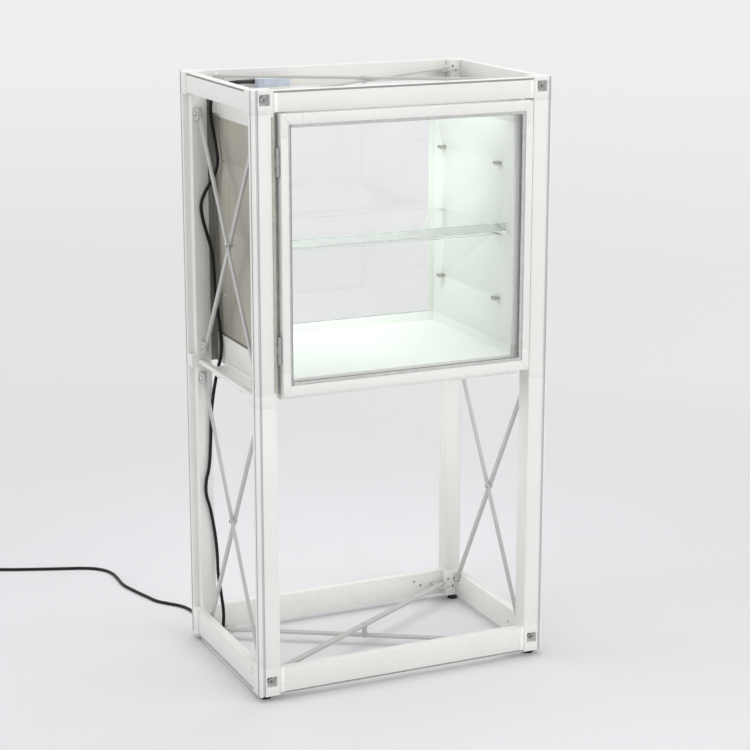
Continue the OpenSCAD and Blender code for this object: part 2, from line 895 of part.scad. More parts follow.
// Roof on three thin walls, with a light box at its top that has a window for the diffuser.
module roof_housing() {
    inner_back = glass_y - back_flange_t;
    color(white) difference() {
        span([-lip_x, case_front, roof_z], [lip_x, case_back, roof_top]);
        // open space over the panels' top edges
        span([-case_in, case_front - eps, roof_z - eps], [case_in, inner_back, light_z]);
        // the light box's hollow, and its window
        span([-case_in, case_front + sheet_t, light_z + sheet_t],
             [case_in, inner_back, roof_top - sheet_t]);
        span([-case_in + diffuser_ledge, case_front + sheet_t + diffuser_ledge, light_z - eps],
             [case_in - diffuser_ledge, inner_back - diffuser_ledge, light_z + sheet_t + eps]);
    }
}

module light_diffuser() {
    low = light_z + sheet_t;
    color([1, 1, 0.96])
        span([-case_in + snug, case_front + sheet_t + snug, low],
             [case_in - snug, glass_y - back_flange_t - snug, low + diffuser_t]);
}

// Light strips under the roof's top sheet.
module led_strips() {
    led_top = roof_top - sheet_t;
    led_end = case_in - led_end_gap;
    color([0.95, 0.95, 0.80])
        for (i = [-1, 0, 1])
            span([-led_end, i * led_pitch - led_w / 2, led_top - led_t],
                 [led_end, i * led_pitch + led_w / 2, led_top]);
}

// Glass plate with a low glass lip bonded along its front edge.
module glass_shelf() {
    color(glass) union() {
        span([-shelf_half, shelf_front, shelf_z], [shelf_half, shelf_back, shelf_z + shelf_t]);
        span([-shelf_half, shelf_front, shelf_z + shelf_t],
             [shelf_half, shelf_front + shelf_lip_t, shelf_z + shelf_t + shelf_lip_h]);
    }
}

// Four flat clips in the middle slots, under the shelf's ends.
module shelf_clips() {
    color(steel)
        for (side = [-1, 1], depth = [-1, 1])
            on_side(side)
                span([case_in - clip_reach, depth * slot_y - clip_w / 2, clip_z],
                     [case_half - clip_end_gap, depth * slot_y + clip_w / 2, clip_z + clip_t]);
}

// ---------------------------------------------------------------- door

// Ring round the door's middle, between an outer and an inner half size about the door's centre.
module door_ring(out_x, out_z, in_x, in_z, y0, y1) {
    mid = (door_z + door_top) / 2;
    difference() {
        span([-out_x, y0, mid - out_z], [out_x, y1, mid + out_z]);
        span([-in_x, y0 - eps, mid - in_z], [in_x, y1 + eps, mid + in_z]);
    }
}

open_x = door_half - stile_w;               // half width of the door's clear opening
open_z = door_h / 2 - door_rail_w;          // half height of it

module door_frame() {
    difference() {
        door_ring(door_half, door_h / 2, open_x, open_z, door_front, door_back);
        door_ring(open_x + glass_groove, open_z + glass_groove, open_x - eps, open_z - eps,
                  groove_y, groove_y + groove_w);
    }
}

module door_stile(side) {
    color(white) intersection() {
        door_frame();
        on_side(side)
            span([0, door_front - eps, door_z + door_corner_l],
                 [door_half + eps, door_back + eps, door_top - door_corner_l]);
    }
}

module door_rail(z0, z1) {
    color(white) intersection() {
        door_frame();
        span([-door_half + door_corner_l, door_front - eps, z0],
             [door_half - door_corner_l, door_back + eps, z1]);
    }
}

module door_stile_left() { door_stile(-1); }
module door_stile_right() { door_stile(1); }
module door_rail_top() { door_rail((door_z + door_top) / 2, door_top + eps); }
module door_rail_bottom() { door_rail(door_z - eps, (door_z + door_top) / 2); }

module door_corner_pieces() {
    color(white) intersection() {
        door_frame();
        union()
            for (side = [-1, 1], z0 = [door_z - eps, door_top - door_corner_l])
                on_side(side)
                    span([door_half - door_corner_l, door_front - eps, z0],
                         [door_half + eps, door_back + eps, z0 + door_corner_l + eps]);
    }
}

module door_glass() {
    mid = (door_z + door_top) / 2;
    color(glass)
        span([-open_x - glass_in, groove_y + seal_t, mid - open_z - glass_in],
             [open_x + glass_in, groove_y + seal_t + door_glass_t, mid + open_z + glass_in]);
}

// Grey seal on both faces of the glass, all round. A strip of it shows inside the frame.
module door_seal() {
    color(grey)
        for (y0 = [groove_y, groove_y + seal_t + door_glass_t])
            door_ring(open_x + glass_in, open_z + glass_in, open_x - seal_show, open_z - seal_show,
                      y0, y0 + seal_t);
}

// Knuckle of a hinge about its pin, between two heights above the hinge's middle.
module knuckle(z0, z1) {
    translate([hinge_x, hinge_y, z0])
        difference() {
            cylinder(h = z1 - z0, r = knuckle_r);
            translate([0, 0, -eps]) cylinder(h = z1 - z0 + 2 * eps, r = hinge_pin_r + running_gap);
        }
}

// Middle knuckle and leaf on the post.
module hinge_frame_leaves() {
    color(steel) for (z = hinge_zs)
        difference() {
            union() {
                knuckle(z - knuckle_l / 2, z + knuckle_l / 2);
                span([-post_in_x, hinge_y, z - knuckle_l / 2],
                     [-post_in_x + leaf_t, frame_leaf_end, z + knuckle_l / 2]);
            }
            translate([hinge_x, hinge_y, z - knuckle_l])
                cylinder(h = 2 * knuckle_l, r = hinge_pin_r + running_gap);
        }
}

// Outer two knuckles and leaf on the door's edge, with the pin set in them.
module hinge_door_leaves() {
    color(steel) for (z = hinge_zs, up = [-1, 1]) {
        near = knuckle_l / 2 + knuckle_gap;
        z0 = z + (up > 0 ? near : -near - knuckle_l);
        difference() {
            union() {
                knuckle(z0, z0 + knuckle_l);
                span([-door_half - leaf_t, hinge_y, z0], [-door_half, hinge_y + leaf_l, z0 + knuckle_l]);
            }
            translate([hinge_x, hinge_y, z0 - eps])
                cylinder(h = knuckle_l + 2 * eps, r = hinge_pin_r + running_gap);
        }
    }
}

module hinge_pins() {
    color(steel) for (z = hinge_zs)
        translate([hinge_x, hinge_y, z - hinge_l / 2]) cylinder(h = hinge_l, r = hinge_pin_r);
}

// ---------------------------------------------------------------- light driver and cord

module light_driver() {
    color([0.80, 0.85, 0.92])
        span([-driver_x, driver_y, driver_z],
             [-driver_x + driver_l, driver_y + driver_d, driver_z + driver_h]);
}

module cord_connector() {
    color(black) translate([connector_end, connector_y, connector_z])
        rotate([0, 90, 0]) cylinder(h = connector_l, r = connector_r);
}

// Small angle clip on the roof's side, that steadies the cord.
module cord_clip() {
    low = roof_z + cord_clip_edge;
    high = roof_top - cord_clip_edge;
    color(white) union() {
        span([-lip_x - sheet_t, cord_clip_y - cord_clip_w, low], [-lip_x, cord_clip_y, high]);
        span([-lip_x - cord_clip_reach, cord_clip_y - cord_clip_arm, low],
             [-lip_x - sheet_t, cord_clip_y, high]);
    }
}

function unit(v) = v / norm(v);
function route_dir(points, i) =
    unit(points[min(i + 1, len(points) - 1)] - points[max(i - 1, 0)]);
// Two directions square to the route, kept steady from ring to ring by a fixed hint.
function ring_side(dir) = unit(cross(dir, abs(dir[2]) > 0.9 ? [0, 1, 0] : [0, 0, 1]));
function frames(points, i = 0, side = [0, 0, 0]) =
    i == len(points) ? [] :
    let (dir = route_dir(points, i),
         start = i == 0 ? ring_side(dir) : unit(side - (side * dir) * dir),
         up = cross(dir, start))
    concat([[start, up]], frames(points, i + 1, start));

module swept_tube(points, radius, sides) {
    axes = frames(points);
    count = len(points);
    rings = [for (i = [0 : count - 1], k = [0 : sides - 1])
        points[i] + radius * (cos(360 * k / sides) * axes[i][0] + sin(360 * k / sides) * axes[i][1])];
    walls = [for (i = [0 : count - 2], k = [0 : sides - 1])
        let (next = (k + 1) % sides)
        [i * sides + k, i * sides + next, (i + 1) * sides + next, (i + 1) * sides + k]];
    near_cap = [for (k = [sides - 1 : -1 : 0]) k];
    far_cap = [for (k = [0 : sides - 1]) (count - 1) * sides + k];
    polyhedron(points = rings, faces = concat([near_cap], walls, [far_cap]));
}

module cord_tube() {
    color(black) {
        swept_tube(cord_route, cord_r, cord_sides);
        swept_tube(cord_tail, cord_r, cord_sides);
    }
}

module coil_solid(below) {
    translate([coil_x, coil_y, -below])
        rotate_extrude($fn = 64)
            translate([coil_mean_r - coil_half_t, 0]) square([2 * coil_half_t, 2 * coil_half_t + below]);
}

module cord_coil() {
    color(black) coil_solid(0);
}

// Strap over the coil and down its inner and outer sides.
module cord_tie() {
    low = coil_mean_r - coil_half_t;
    high = coil_mean_r + coil_half_t;
    top = 2 * coil_half_t;
    color(grey) translate([coil_x, coil_y, 0])
        difference() {
            span([low - tie_t, -tie_w / 2, 0], [high + tie_t, tie_w / 2, top + tie_t]);
            translate([-coil_x, -coil_y, 0]) coil_solid(tie_w);
        }
}

// Moulded plug with two round pins, lying beside the coil.
module plug() {
    color(black) translate([plug_at[0], plug_at[1], 0]) {
        span([-plug_w / 2, -plug_l, 0], [plug_w / 2, 0, plug_h]);
        for (side = [-1, 1])
            translate([side * pin_pitch / 2, -plug_l, plug_h / 2])
                rotate([90, 0, 0]) cylinder(h = pin_l, r = pin_r);
    }
}

// ---------------------------------------------------------------- assembly

lower_post(-1, -1);  // lower_post_front_left
lower_post(1, -1);  // lower_post_front_right
lower_post(-1, 1);  // lower_post_back_left
lower_post(1, 1);  // lower_post_back_right
upper_post(-1, -1);  // upper_post_front_left
upper_post(1, -1);  // upper_post_front_right
upper_post(-1, 1);  // upper_post_back_left
upper_post(1, 1);  // upper_post_back_right
bottom_corner_blocks();
middle_joint_blocks();
top_corner_blocks();
bottom_rail_front();
bottom_rail_back();
bottom_rail_left();
bottom_rail_right();
top_rail_front();
top_rail_back();
top_rail_left();
top_rail_right();
middle_bars();
lower_brace_left();
lower_brace_right();
upper_brace_left();
upper_brace_right();
bottom_brace();
top_brace();
brace_lugs();
brace_bolts();
corner_bolts();
foot(-1, -1);  // foot_front_left
foot(1, -1);  // foot_front_right
foot(-1, 1);  // foot_back_left
foot(1, 1);  // foot_back_right
case_brackets();
floor_pan();
side_panel_left();
side_panel_right();
back_glass();
roof_housing();
light_diffuser();
led_strips();
glass_shelf();
shelf_clips();
door_stile_left();
door_stile_right();
door_rail_top();
door_rail_bottom();
door_corner_pieces();
door_glass();
door_seal();
hinge_frame_leaves();
hinge_door_leaves();
hinge_pins();
light_driver();
cord_connector();
cord_clip();
cord_tube();
cord_coil();
cord_tie();
plug();
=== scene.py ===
"""Looks of the pedestal display case: a bolted white frame, a lit glass-fronted case and its lead."""

from math import atan2, cos, hypot, pi, radians, sin

import bmesh
import bpy
from mathutils import Matrix, Vector


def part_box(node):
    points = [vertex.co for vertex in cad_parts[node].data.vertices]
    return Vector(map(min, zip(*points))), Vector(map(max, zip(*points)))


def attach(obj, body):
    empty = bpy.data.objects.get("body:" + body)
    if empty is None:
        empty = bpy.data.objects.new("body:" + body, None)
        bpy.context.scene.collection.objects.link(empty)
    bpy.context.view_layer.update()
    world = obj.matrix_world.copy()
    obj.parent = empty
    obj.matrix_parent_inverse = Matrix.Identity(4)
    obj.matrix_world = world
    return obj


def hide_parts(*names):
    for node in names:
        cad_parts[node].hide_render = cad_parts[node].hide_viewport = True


bl_info = {
    "name": "Pedestal display case",
    "version": (1, 0, 0),
    "blender": (4, 5, 0),
    "location": "3D View > Sidebar > Display case",
    "description": "Finishes the parts of a pedestal display case and sets up its studio",
    "category": "Object",
}

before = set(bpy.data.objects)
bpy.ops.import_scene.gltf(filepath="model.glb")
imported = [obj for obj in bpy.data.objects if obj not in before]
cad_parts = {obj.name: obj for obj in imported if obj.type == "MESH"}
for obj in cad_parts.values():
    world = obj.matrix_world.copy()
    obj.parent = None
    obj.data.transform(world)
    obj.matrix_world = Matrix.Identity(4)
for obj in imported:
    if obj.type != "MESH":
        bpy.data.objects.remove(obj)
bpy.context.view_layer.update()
bpy.ops.object.select_all(action="DESELECT")

FRAME_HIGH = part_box("top_corner_blocks")[1]
DOOR_LOW, DOOR_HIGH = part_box("door_corner_pieces")
PANEL_LOW, PANEL_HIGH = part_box("side_panel_left")
PANEL_OUTER = -PANEL_LOW.x


# ------------------------------------------------------------------ settings


class CaseFinishes(bpy.types.PropertyGroup):
    """Colours and gloss of the case's finishes."""

    paint: bpy.props.FloatVectorProperty(
        name="Paint", description="Powder coat of the frame", subtype="COLOR",
        default=(0.80, 0.795, 0.765), min=0.0, max=1.0)
    paint_gloss: bpy.props.FloatProperty(
        name="Paint roughness", description="Roughness of the powder coat", subtype="FACTOR",
        default=0.42, min=0.1, max=0.9)
    lining: bpy.props.FloatVectorProperty(
        name="Lining", description="Inside of the case", subtype="COLOR",
        default=(0.84, 0.865, 0.83), min=0.0, max=1.0)
    panel_back: bpy.props.FloatVectorProperty(
        name="Panel outside", description="Outer face of the side panels", subtype="COLOR",
        default=(0.41, 0.393, 0.33), min=0.0, max=1.0)
    steel: bpy.props.FloatVectorProperty(
        name="Steel", description="Bolts, hinges and clips", subtype="COLOR",
        default=(0.56, 0.56, 0.55), min=0.0, max=1.0)
    seal: bpy.props.FloatVectorProperty(
        name="Seal", description="Seal round the door glass", subtype="COLOR",
        default=(0.52, 0.52, 0.51), min=0.0, max=1.0)
    rubber: bpy.props.FloatVectorProperty(
        name="Cord", description="Jacket of the lead", subtype="COLOR",
        default=(0.004, 0.004, 0.0045), min=0.0, max=1.0)
    plastic: bpy.props.FloatVectorProperty(
        name="Black plastic", description="Feet, plug and connector", subtype="COLOR",
        default=(0.014, 0.014, 0.015), min=0.0, max=1.0)
    driver: bpy.props.FloatVectorProperty(
        name="Driver", description="Housing of the light driver", subtype="COLOR",
        default=(0.58, 0.64, 0.74), min=0.0, max=1.0)
    strap: bpy.props.FloatVectorProperty(
        name="Strap", description="Strap round the coiled lead", subtype="COLOR",
        default=(0.22, 0.22, 0.22), min=0.0, max=1.0)
    glass_edge: bpy.props.FloatVectorProperty(
        name="Glass edge", description="Green of the glass at its cut edges", subtype="COLOR",
        default=(0.42, 0.52, 0.47), min=0.0, max=1.0)
    brace: bpy.props.FloatVectorProperty(
        name="Braces", description="Duller coat of the crossed brace bars", subtype="COLOR",
        default=(0.50, 0.50, 0.485), min=0.0, max=1.0)
    # Painted shade: this grey on the rails' groove faces stands for the shade in the grooves.
    groove: bpy.props.FloatVectorProperty(
        name="Groove", description="Dusty bottom of the rails' shadow grooves", subtype="COLOR",
        default=(0.40, 0.40, 0.39), min=0.0, max=1.0)
    # Painted shade: this grey on the posts' groove faces and the blocks' pockets stands for their shade.
    post_groove: bpy.props.FloatVectorProperty(
        name="Post groove", description="Bottom of the posts' shadow grooves", subtype="COLOR",
        default=(0.60, 0.60, 0.61), min=0.0, max=1.0)


class CaseSizes(bpy.types.PropertyGroup):
    """Small sizes that only the finish adds."""

    edge_round: bpy.props.FloatProperty(
        name="Edge round", description="Round along a painted edge", unit="LENGTH",
        default=0.0006, min=0.0, max=0.0014)
    glass_round: bpy.props.FloatProperty(
        name="Glass arris", description="Ground arris of a glass edge", unit="LENGTH",
        default=0.0005, min=0.0, max=0.001)
    cap_width: bpy.props.FloatProperty(
        name="Rail cap", description="Width of the caps at the ends of the front rails", unit="LENGTH",
        default=0.0085, min=0.004, max=0.012)
    screw_radius: bpy.props.FloatProperty(
        name="Screw head", description="Radius of a small screw's head", unit="LENGTH",
        default=0.0024, min=0.0015, max=0.0035)
    relief_length: bpy.props.FloatProperty(
        name="Strain relief", description="Length of the lead's strain reliefs", unit="LENGTH",
        default=0.030, min=0.020, max=0.060)


class CaseLight(bpy.types.PropertyGroup):
    """Light of the case and of the studio."""

    world: bpy.props.FloatProperty(
        name="World", description="Strength of the even light all round", default=0.62, min=0.0, max=2.0)
    key: bpy.props.FloatProperty(
        name="Key", description="Power of the soft light in front, to the right and above", unit="POWER",
        default=41.0, min=0.0, max=2000.0)
    fill: bpy.props.FloatProperty(
        name="Fill", description="Power of the soft light on the left", unit="POWER",
        default=50.0, min=0.0, max=2000.0)
    top: bpy.props.FloatProperty(
        name="Top", description="Power of the soft light overhead", unit="POWER",
        default=69.0, min=0.0, max=2000.0)
    strip: bpy.props.FloatProperty(
        name="Case light", description="Power of the light inside the case", unit="POWER",
        default=0.52, min=0.0, max=200.0)
    glow: bpy.props.FloatProperty(
        name="Diffuser", description="Brightness of the diffuser as the eye sees it", default=0.92,
        min=0.0, max=5.0)
    bay: bpy.props.FloatProperty(
        name="Bay light", description="Power of the soft light under the case", unit="POWER",
        default=0.65, min=0.0, max=50.0)
    roof: bpy.props.FloatProperty(
        name="Roof light", description="Power of the soft light over the case's roof", unit="POWER",
        default=0.06, min=0.0, max=50.0)
    floor: bpy.props.FloatVectorProperty(
        name="Floor", description="Colour of the floor", subtype="COLOR",
        default=(0.76, 0.76, 0.775), min=0.0, max=1.0)
    backdrop_left: bpy.props.FloatVectorProperty(
        name="Backdrop left", description="Colour of the backdrop on the left", subtype="COLOR",
        default=(0.765, 0.765, 0.76), min=0.0, max=1.0)
    backdrop_right: bpy.props.FloatVectorProperty(
        name="Backdrop right", description="Colour of the backdrop on the right", subtype="COLOR",
        default=(0.80, 0.80, 0.815), min=0.0, max=1.0)
    backdrop_top: bpy.props.FloatVectorProperty(
        name="Backdrop top", description="Colour of the backdrop at its top", subtype="COLOR",
        default=(0.865, 0.86, 0.87), min=0.0, max=1.0)
    mirrored: bpy.props.FloatProperty(
        name="Mirrored room", description="Strength of the room as glass mirrors it", default=1.15,
        min=0.0, max=2.0)
    front: bpy.props.FloatProperty(
        name="Front", description="Power of the low soft light in front", unit="POWER",
        default=55.0, min=0.0, max=2000.0)


def finishes():
    return bpy.context.scene.case_finishes


def sizes():
    return bpy.context.scene.case_sizes


def light():
    return bpy.context.scene.case_light


# ------------------------------------------------------------------ materials


def add(material, kind, sockets=None, **settings):
    """Adds a shader node. A socket takes a value or another node's output."""
    made = material.node_tree.nodes.new("ShaderNode" + kind)
    for name, value in settings.items():
        setattr(made, name, value)
    for socket, value in (sockets or {}).items():
        if isinstance(value, bpy.types.NodeSocket):
            material.node_tree.links.new(value, made.inputs[socket])
        else:
            made.inputs[socket].default_value = value
    return made


def rgba(colour, factor=1.0):
    return tuple(min(1.0, c * factor) for c in colour) + (1.0,)


def blank(name):
    """A new material with its shader and output, joined."""
    material = bpy.data.materials.new(name)
    material.use_nodes = True
    material.node_tree.nodes.clear()
    shader = add(material, "BsdfPrincipled")
    add(material, "OutputMaterial", {"Surface": shader.outputs[0]})
    return material, shader


def on_object(material, scale=(1.0, 1.0, 1.0), move=(0.0, 0.0, 0.0)):
    """Coordinates of the piece, stretched or moved."""
    place = add(material, "TexCoord").outputs["Object"]
    return add(material, "Mapping", {"Vector": place, "Scale": scale, "Location": move}).outputs[0]


def noise(material, coords, scale, detail=2.0, roughness=0.5):
    return add(material, "TexNoise", {
        "Vector": coords, "Scale": scale, "Detail": detail, "Roughness": roughness}).outputs["Fac"]


def spread(material, value, low, high, to_low=0.0, to_high=1.0):
    """Stretches a value from one range to another, held at the ends."""
    return add(material, "MapRange", {
        "Value": value, "From Min": low, "From Max": high, "To Min": to_low, "To Max": to_high}).outputs[0]


def sum_up(material, kind, a, b=0.5):
    return add(material, "Math", {0: a, 1: b}, operation=kind).outputs[0]


def mix(material, factor, a, b, kind="MIX"):
    return add(material, "Mix", {0: factor, 6: a, 7: b}, data_type="RGBA", blend_type=kind).outputs[2]


def bump(material, shader, height, strength, distance):
    made = add(material, "Bump", {"Height": height, "Strength": strength, "Distance": distance})
    material.node_tree.links.new(made.outputs[0], shader.inputs["Normal"])


def wire(material, output, shader, socket):
    material.node_tree.links.new(output, shader.inputs[socket])


DUST = (0.52, 0.50, 0.46)


def coat_base(material, shader, coords, colour, roughness):
    """Powder coat: soft mottling, fine orange peel, faint scuffs and a little dust near the floor."""
    broad = spread(material, noise(material, coords, 5.0, 3.0), 0.35, 0.65)
    tone = mix(material, broad, rgba(colour, 0.975), rgba(colour, 1.015))
    scuff = spread(material, noise(material, coords, 38.0, 9.0, 0.75), 0.60, 0.72)
    tone = mix(material, sum_up(material, "MULTIPLY", scuff, 0.10), tone, rgba(colour, 0.72))
    height = add(material, "SeparateXYZ", {0: coords}).outputs[2]
    low = spread(material, height, 0.0, 0.16, 1.0, 0.0)
    dust = spread(material, noise(material, coords, 90.0, 6.0, 0.7), 0.4, 0.75)
    grime = sum_up(material, "MULTIPLY", low, dust)
    tone = mix(material, sum_up(material, "MULTIPLY", grime, 0.22), tone, rgba(DUST))
    peel = noise(material, coords, 850.0, 2.0)
    gloss = sum_up(material, "MULTIPLY_ADD", broad, 0.06)
    gloss.node.inputs[2].default_value = roughness - 0.03
    wire(material, gloss, shader, "Roughness")
    return tone, peel


def powder_coat(name, colour, roughness):
    material, shader = blank(name)
    coords = on_object(material)
    tone, peel = coat_base(material, shader, coords, colour, roughness)
    wire(material, tone, shader, "Base Color")
    bump(material, shader, peel, 0.10, 0.0002)
    return material


def door_coat(name, colour, roughness):
    """Powder coat with a fine mitre line at each corner of the door's face."""
    material, shader = blank(name)
    coords = on_object(material)
    tone, peel = coat_base(material, shader, coords, colour, roughness)
    centred = on_object(material, move=(0.0, 0.0, -(DOOR_LOW.z + DOOR_HIGH.z) / 2))
    parts = add(material, "SeparateXYZ", {0: centred}).outputs
    across = sum_up(material, "SUBTRACT", sum_up(material, "ABSOLUTE", parts[0]), DOOR_HIGH.x)
    upward = sum_up(material, "SUBTRACT", sum_up(material, "ABSOLUTE", parts[2]),
                    (DOOR_HIGH.z - DOOR_LOW.z) / 2)
    off_line = sum_up(material, "ABSOLUTE", sum_up(material, "SUBTRACT", across, upward))
    line = spread(material, off_line, 0.0004, 0.0010, 1.0, 0.0)
    tone = mix(material, sum_up(material, "MULTIPLY", line, 0.42), tone, rgba(colour, 0.45))
    wire(material, tone, shader, "Base Color")
    bump(material, shader, sum_up(material, "SUBTRACT", sum_up(material, "MULTIPLY", peel, 0.1), line),
         0.5, 0.0003)
    return material


PANEL_SEAMS = (0.0915, 0.1595)
# Painted light: near white for the side panels' front edges, which sit in shade beside the door.
PAINTED_LIGHT_FRONT_EDGE = (0.96, 0.965, 0.955)


def panel_coat_with_painted_light(name, lining, outside, roughness):
    """Side panel: white lining inside; outside a darker beige with two upright seams, painted shadow
    towards the back and bottom, a painted shade line along its bottom edge and painted light on its front
    edge.
    """
    material, shader = blank(name)
    coords = on_object(material)
    tone, peel = coat_base(material, shader, coords, lining, roughness)
    x, y, z = add(material, "SeparateXYZ", {0: coords}).outputs
    broad = noise(material, on_object(material, (9.0, 9.0, 1.6)), 1.0, 4.0)
    drab_and_shade = mix(material, spread(material, broad, 0.3, 0.7), rgba(outside, 0.93), rgba(outside, 1.06))
    strip = spread(material, y, PANEL_SEAMS[1] - 0.0005, PANEL_SEAMS[1] + 0.0005)
    darker = tuple(part * share for part, share in zip(outside, (0.62, 0.68, 0.60)))
    drab_and_shade = mix(material, strip, drab_and_shade, rgba(darker))
    seams = None
    for seam_y in PANEL_SEAMS:
        away = sum_up(material, "ABSOLUTE", sum_up(material, "SUBTRACT", y, seam_y))
        seam = spread(material, away, 0.0004, 0.0016, 1.0, 0.0)
        seams = seam if seams is None else sum_up(material, "MAXIMUM", seams, seam)
    drab_and_shade = mix(material, sum_up(material, "MULTIPLY", seams, 0.55), drab_and_shade, rgba(outside, 0.30))
    # Painted shade: a dark ragged line along the panel's bottom edge, where the join with the pan lies in
    # shade.
    bottom_gap_shade = sum_up(material, "MULTIPLY_ADD", noise(material, coords, 260.0, 2.0), 0.003)
    bottom_gap_shade.node.inputs[2].default_value = PANEL_LOW.z + 0.0035
    drab_and_shade = mix(material, sum_up(material, "LESS_THAN", z, bottom_gap_shade), drab_and_shade, rgba(outside, 0.22))
    # Painted shadow: the outside grows darker towards the back and towards the bottom.
    painted_shadow = sum_up(material, "MULTIPLY", spread(material, y, 0.0, 0.15), spread(material, z, 0.90, 0.70))
    drab_and_shade = mix(material, sum_up(material, "MULTIPLY", painted_shadow, 0.55), drab_and_shade, rgba(outside, 0.30))
    outer = sum_up(material, "GREATER_THAN", sum_up(material, "ABSOLUTE", x), PANEL_OUTER - 0.0006)
    # Painted light on the front edge.
    front = sum_up(material, "LESS_THAN", y, PANEL_LOW.y + 0.0008)
    tone = mix(material, front, tone, rgba(PAINTED_LIGHT_FRONT_EDGE))
    wire(material, mix(material, outer, tone, drab_and_shade), shader, "Base Color")
    groove = sum_up(material, "MULTIPLY", seams, outer)
    bump(material, shader, sum_up(material, "SUBTRACT", sum_up(material, "MULTIPLY", peel, 0.15), groove),
         0.4, 0.0006)
    return material



def metal(name, colour, roughness, grain=(1.0, 1.0, 30.0)):
    """Zinc-plated steel with a fine drawn grain."""
    material, shader = blank(name)
    coords = on_object(material, grain)
    lines = noise(material, coords, 300.0, 4.0, 0.6)
    cloud = noise(material, on_object(material), 120.0, 3.0)
    tone = mix(material, spread(material, cloud, 0.3, 0.7), rgba(colour, 0.82), rgba(colour, 1.10))
    wire(material, tone, shader, "Base Color")
    gloss = spread(material, lines, 0.3, 0.7, roughness - 0.08, roughness + 0.10)
    wire(material, gloss, shader, "Roughness")
    shader.inputs["Metallic"].default_value = 1.0
    bump(material, shader, lines, 0.08, 0.0001)
    return material


def moulded(name, colour, roughness, grain_scale=1400.0, depth=0.25, sheen=0.5):
    """Moulded plastic or rubber with a fine grain and slight wear."""
    material, shader = blank(name)
    coords = on_object(material)
    cloud = noise(material, coords, 70.0, 5.0, 0.6)
    tone = mix(material, spread(material, cloud, 0.35, 0.7), rgba(colour, 0.90), rgba(colour, 1.14))
    wire(material, tone, shader, "Base Color")
    shader.inputs["Specular IOR Level"].default_value = sheen
    grain = noise(material, coords, grain_scale, 2.0)
    gloss = spread(material, cloud, 0.3, 0.75, roughness - 0.05, roughness + 0.08)
    wire(material, gloss, shader, "Roughness")
    bump(material, shader, grain, depth, 0.00015)
    return material


SEAL_WIDTH = 0.0125
SEAL_LIP = 0.0015
LEFT_SHADE = 0.0045


def seal_rubber(name, colour, roughness):
    """Pale seal of the door glass, with painted shade: its back inner edge is dark, and so is the left
    side's inner face.
    """
    material = moulded(name, colour, roughness)
    shader = next(n for n in material.node_tree.nodes if n.type == "BSDF_PRINCIPLED")
    tone = shader.inputs["Base Color"].links[0].from_socket
    low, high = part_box("door_seal")
    opening_x, opening_z = high.x - SEAL_WIDTH, (high.z - low.z) / 2 - SEAL_WIDTH
    coords = on_object(material, move=(0.0, 0.0, -(low.z + high.z) / 2))
    across, depth, upward = add(material, "SeparateXYZ", {0: coords}).outputs
    # Painted shade along the back inner edge of the opening.
    lip_shade = sum_up(material, "GREATER_THAN", depth, (low.y + high.y) / 2 + 0.001)
    for value, edge in ((across, opening_x), (upward, opening_z)):
        near = spread(material, sum_up(material, "ABSOLUTE", value),
                      edge + SEAL_LIP, edge + SEAL_LIP * 0.6, 0.0, 1.0)
        lip_shade = sum_up(material, "MULTIPLY", lip_shade, near)
    # Painted shade on the left side, darkest at the opening.
    left = spread(material, across, -opening_x - LEFT_SHADE, -opening_x, 0.0, 0.75)
    left = sum_up(material, "MULTIPLY", left, sum_up(material, "LESS_THAN", across, -opening_x + 0.001))
    seal_shade = sum_up(material, "MAXIMUM", sum_up(material, "MULTIPLY", lip_shade, 0.85), left)
    wire(material, mix(material, seal_shade, tone, rgba(colour, 0.20)), shader, "Base Color")
    return material


GLASS_IOR = 1.46


def clear_glass(name, tint, haze=0.02):
    """Plate glass. Lamps and bounced light pass straight through it."""
    material, shader = blank(name)
    coords = on_object(material)
    smear = noise(material, coords, 14.0, 4.0, 0.6)
    tone = mix(material, spread(material, smear, 0.45, 0.75), rgba(tint), rgba(tint, 0.985))
    wire(material, tone, shader, "Base Color")
    wire(material, spread(material, smear, 0.45, 0.75, 0.0, haze), shader, "Roughness")
    shader.inputs["Transmission Weight"].default_value = 1.0
    shader.inputs["IOR"].default_value = GLASS_IOR
    path = add(material, "LightPath").outputs
    passing = sum_up(material, "MAXIMUM", path["Is Shadow Ray"], path["Is Diffuse Ray"])
    through = add(material, "BsdfTransparent", {"Color": rgba(tint, 0.98)})
    both = add(material, "MixShader", {0: passing, 1: shader.outputs[0], 2: through.outputs[0]})
    output = next(n for n in material.node_tree.nodes if n.type == "OUTPUT_MATERIAL")
    material.node_tree.links.new(both.outputs[0], output.inputs["Surface"])
    return material


def cut_edge(name, colour):
    """Ground edge of a glass plate, where its green shows."""
    material, shader = blank(name)
    coords = on_object(material)
    cloud = noise(material, coords, 60.0, 4.0)
    tone = mix(material, spread(material, cloud, 0.3, 0.7), rgba(colour, 0.85), rgba(colour, 1.15))
    wire(material, tone, shader, "Base Color")
    wire(material, spread(material, cloud, 0.3, 0.7, 0.18, 0.32), shader, "Roughness")
    shader.inputs["Transmission Weight"].default_value = 0.35
    shader.inputs["IOR"].default_value = GLASS_IOR
    bump(material, shader, noise(material, coords, 900.0), 0.1, 0.0001)
    return material


def glowing(name, colour, strength):
    """Opal sheet or light strip that gives light, with a faint random mottle."""
    material, shader = blank(name)
    coords = on_object(material)
    cloud = noise(material, coords, 25.0, 3.0)
    tone = mix(material, spread(material, cloud, 0.3, 0.7), rgba(colour, 0.985), rgba(colour))
    wire(material, tone, shader, "Base Color")
    wire(material, tone, shader, "Emission Color")
    shader.inputs["Emission Strength"].default_value = strength
    wire(material, spread(material, cloud, 0.3, 0.7, 0.35, 0.45), shader, "Roughness")
    bump(material, shader, noise(material, coords, 700.0), 0.08, 0.0001)
    return material


STORE = {}


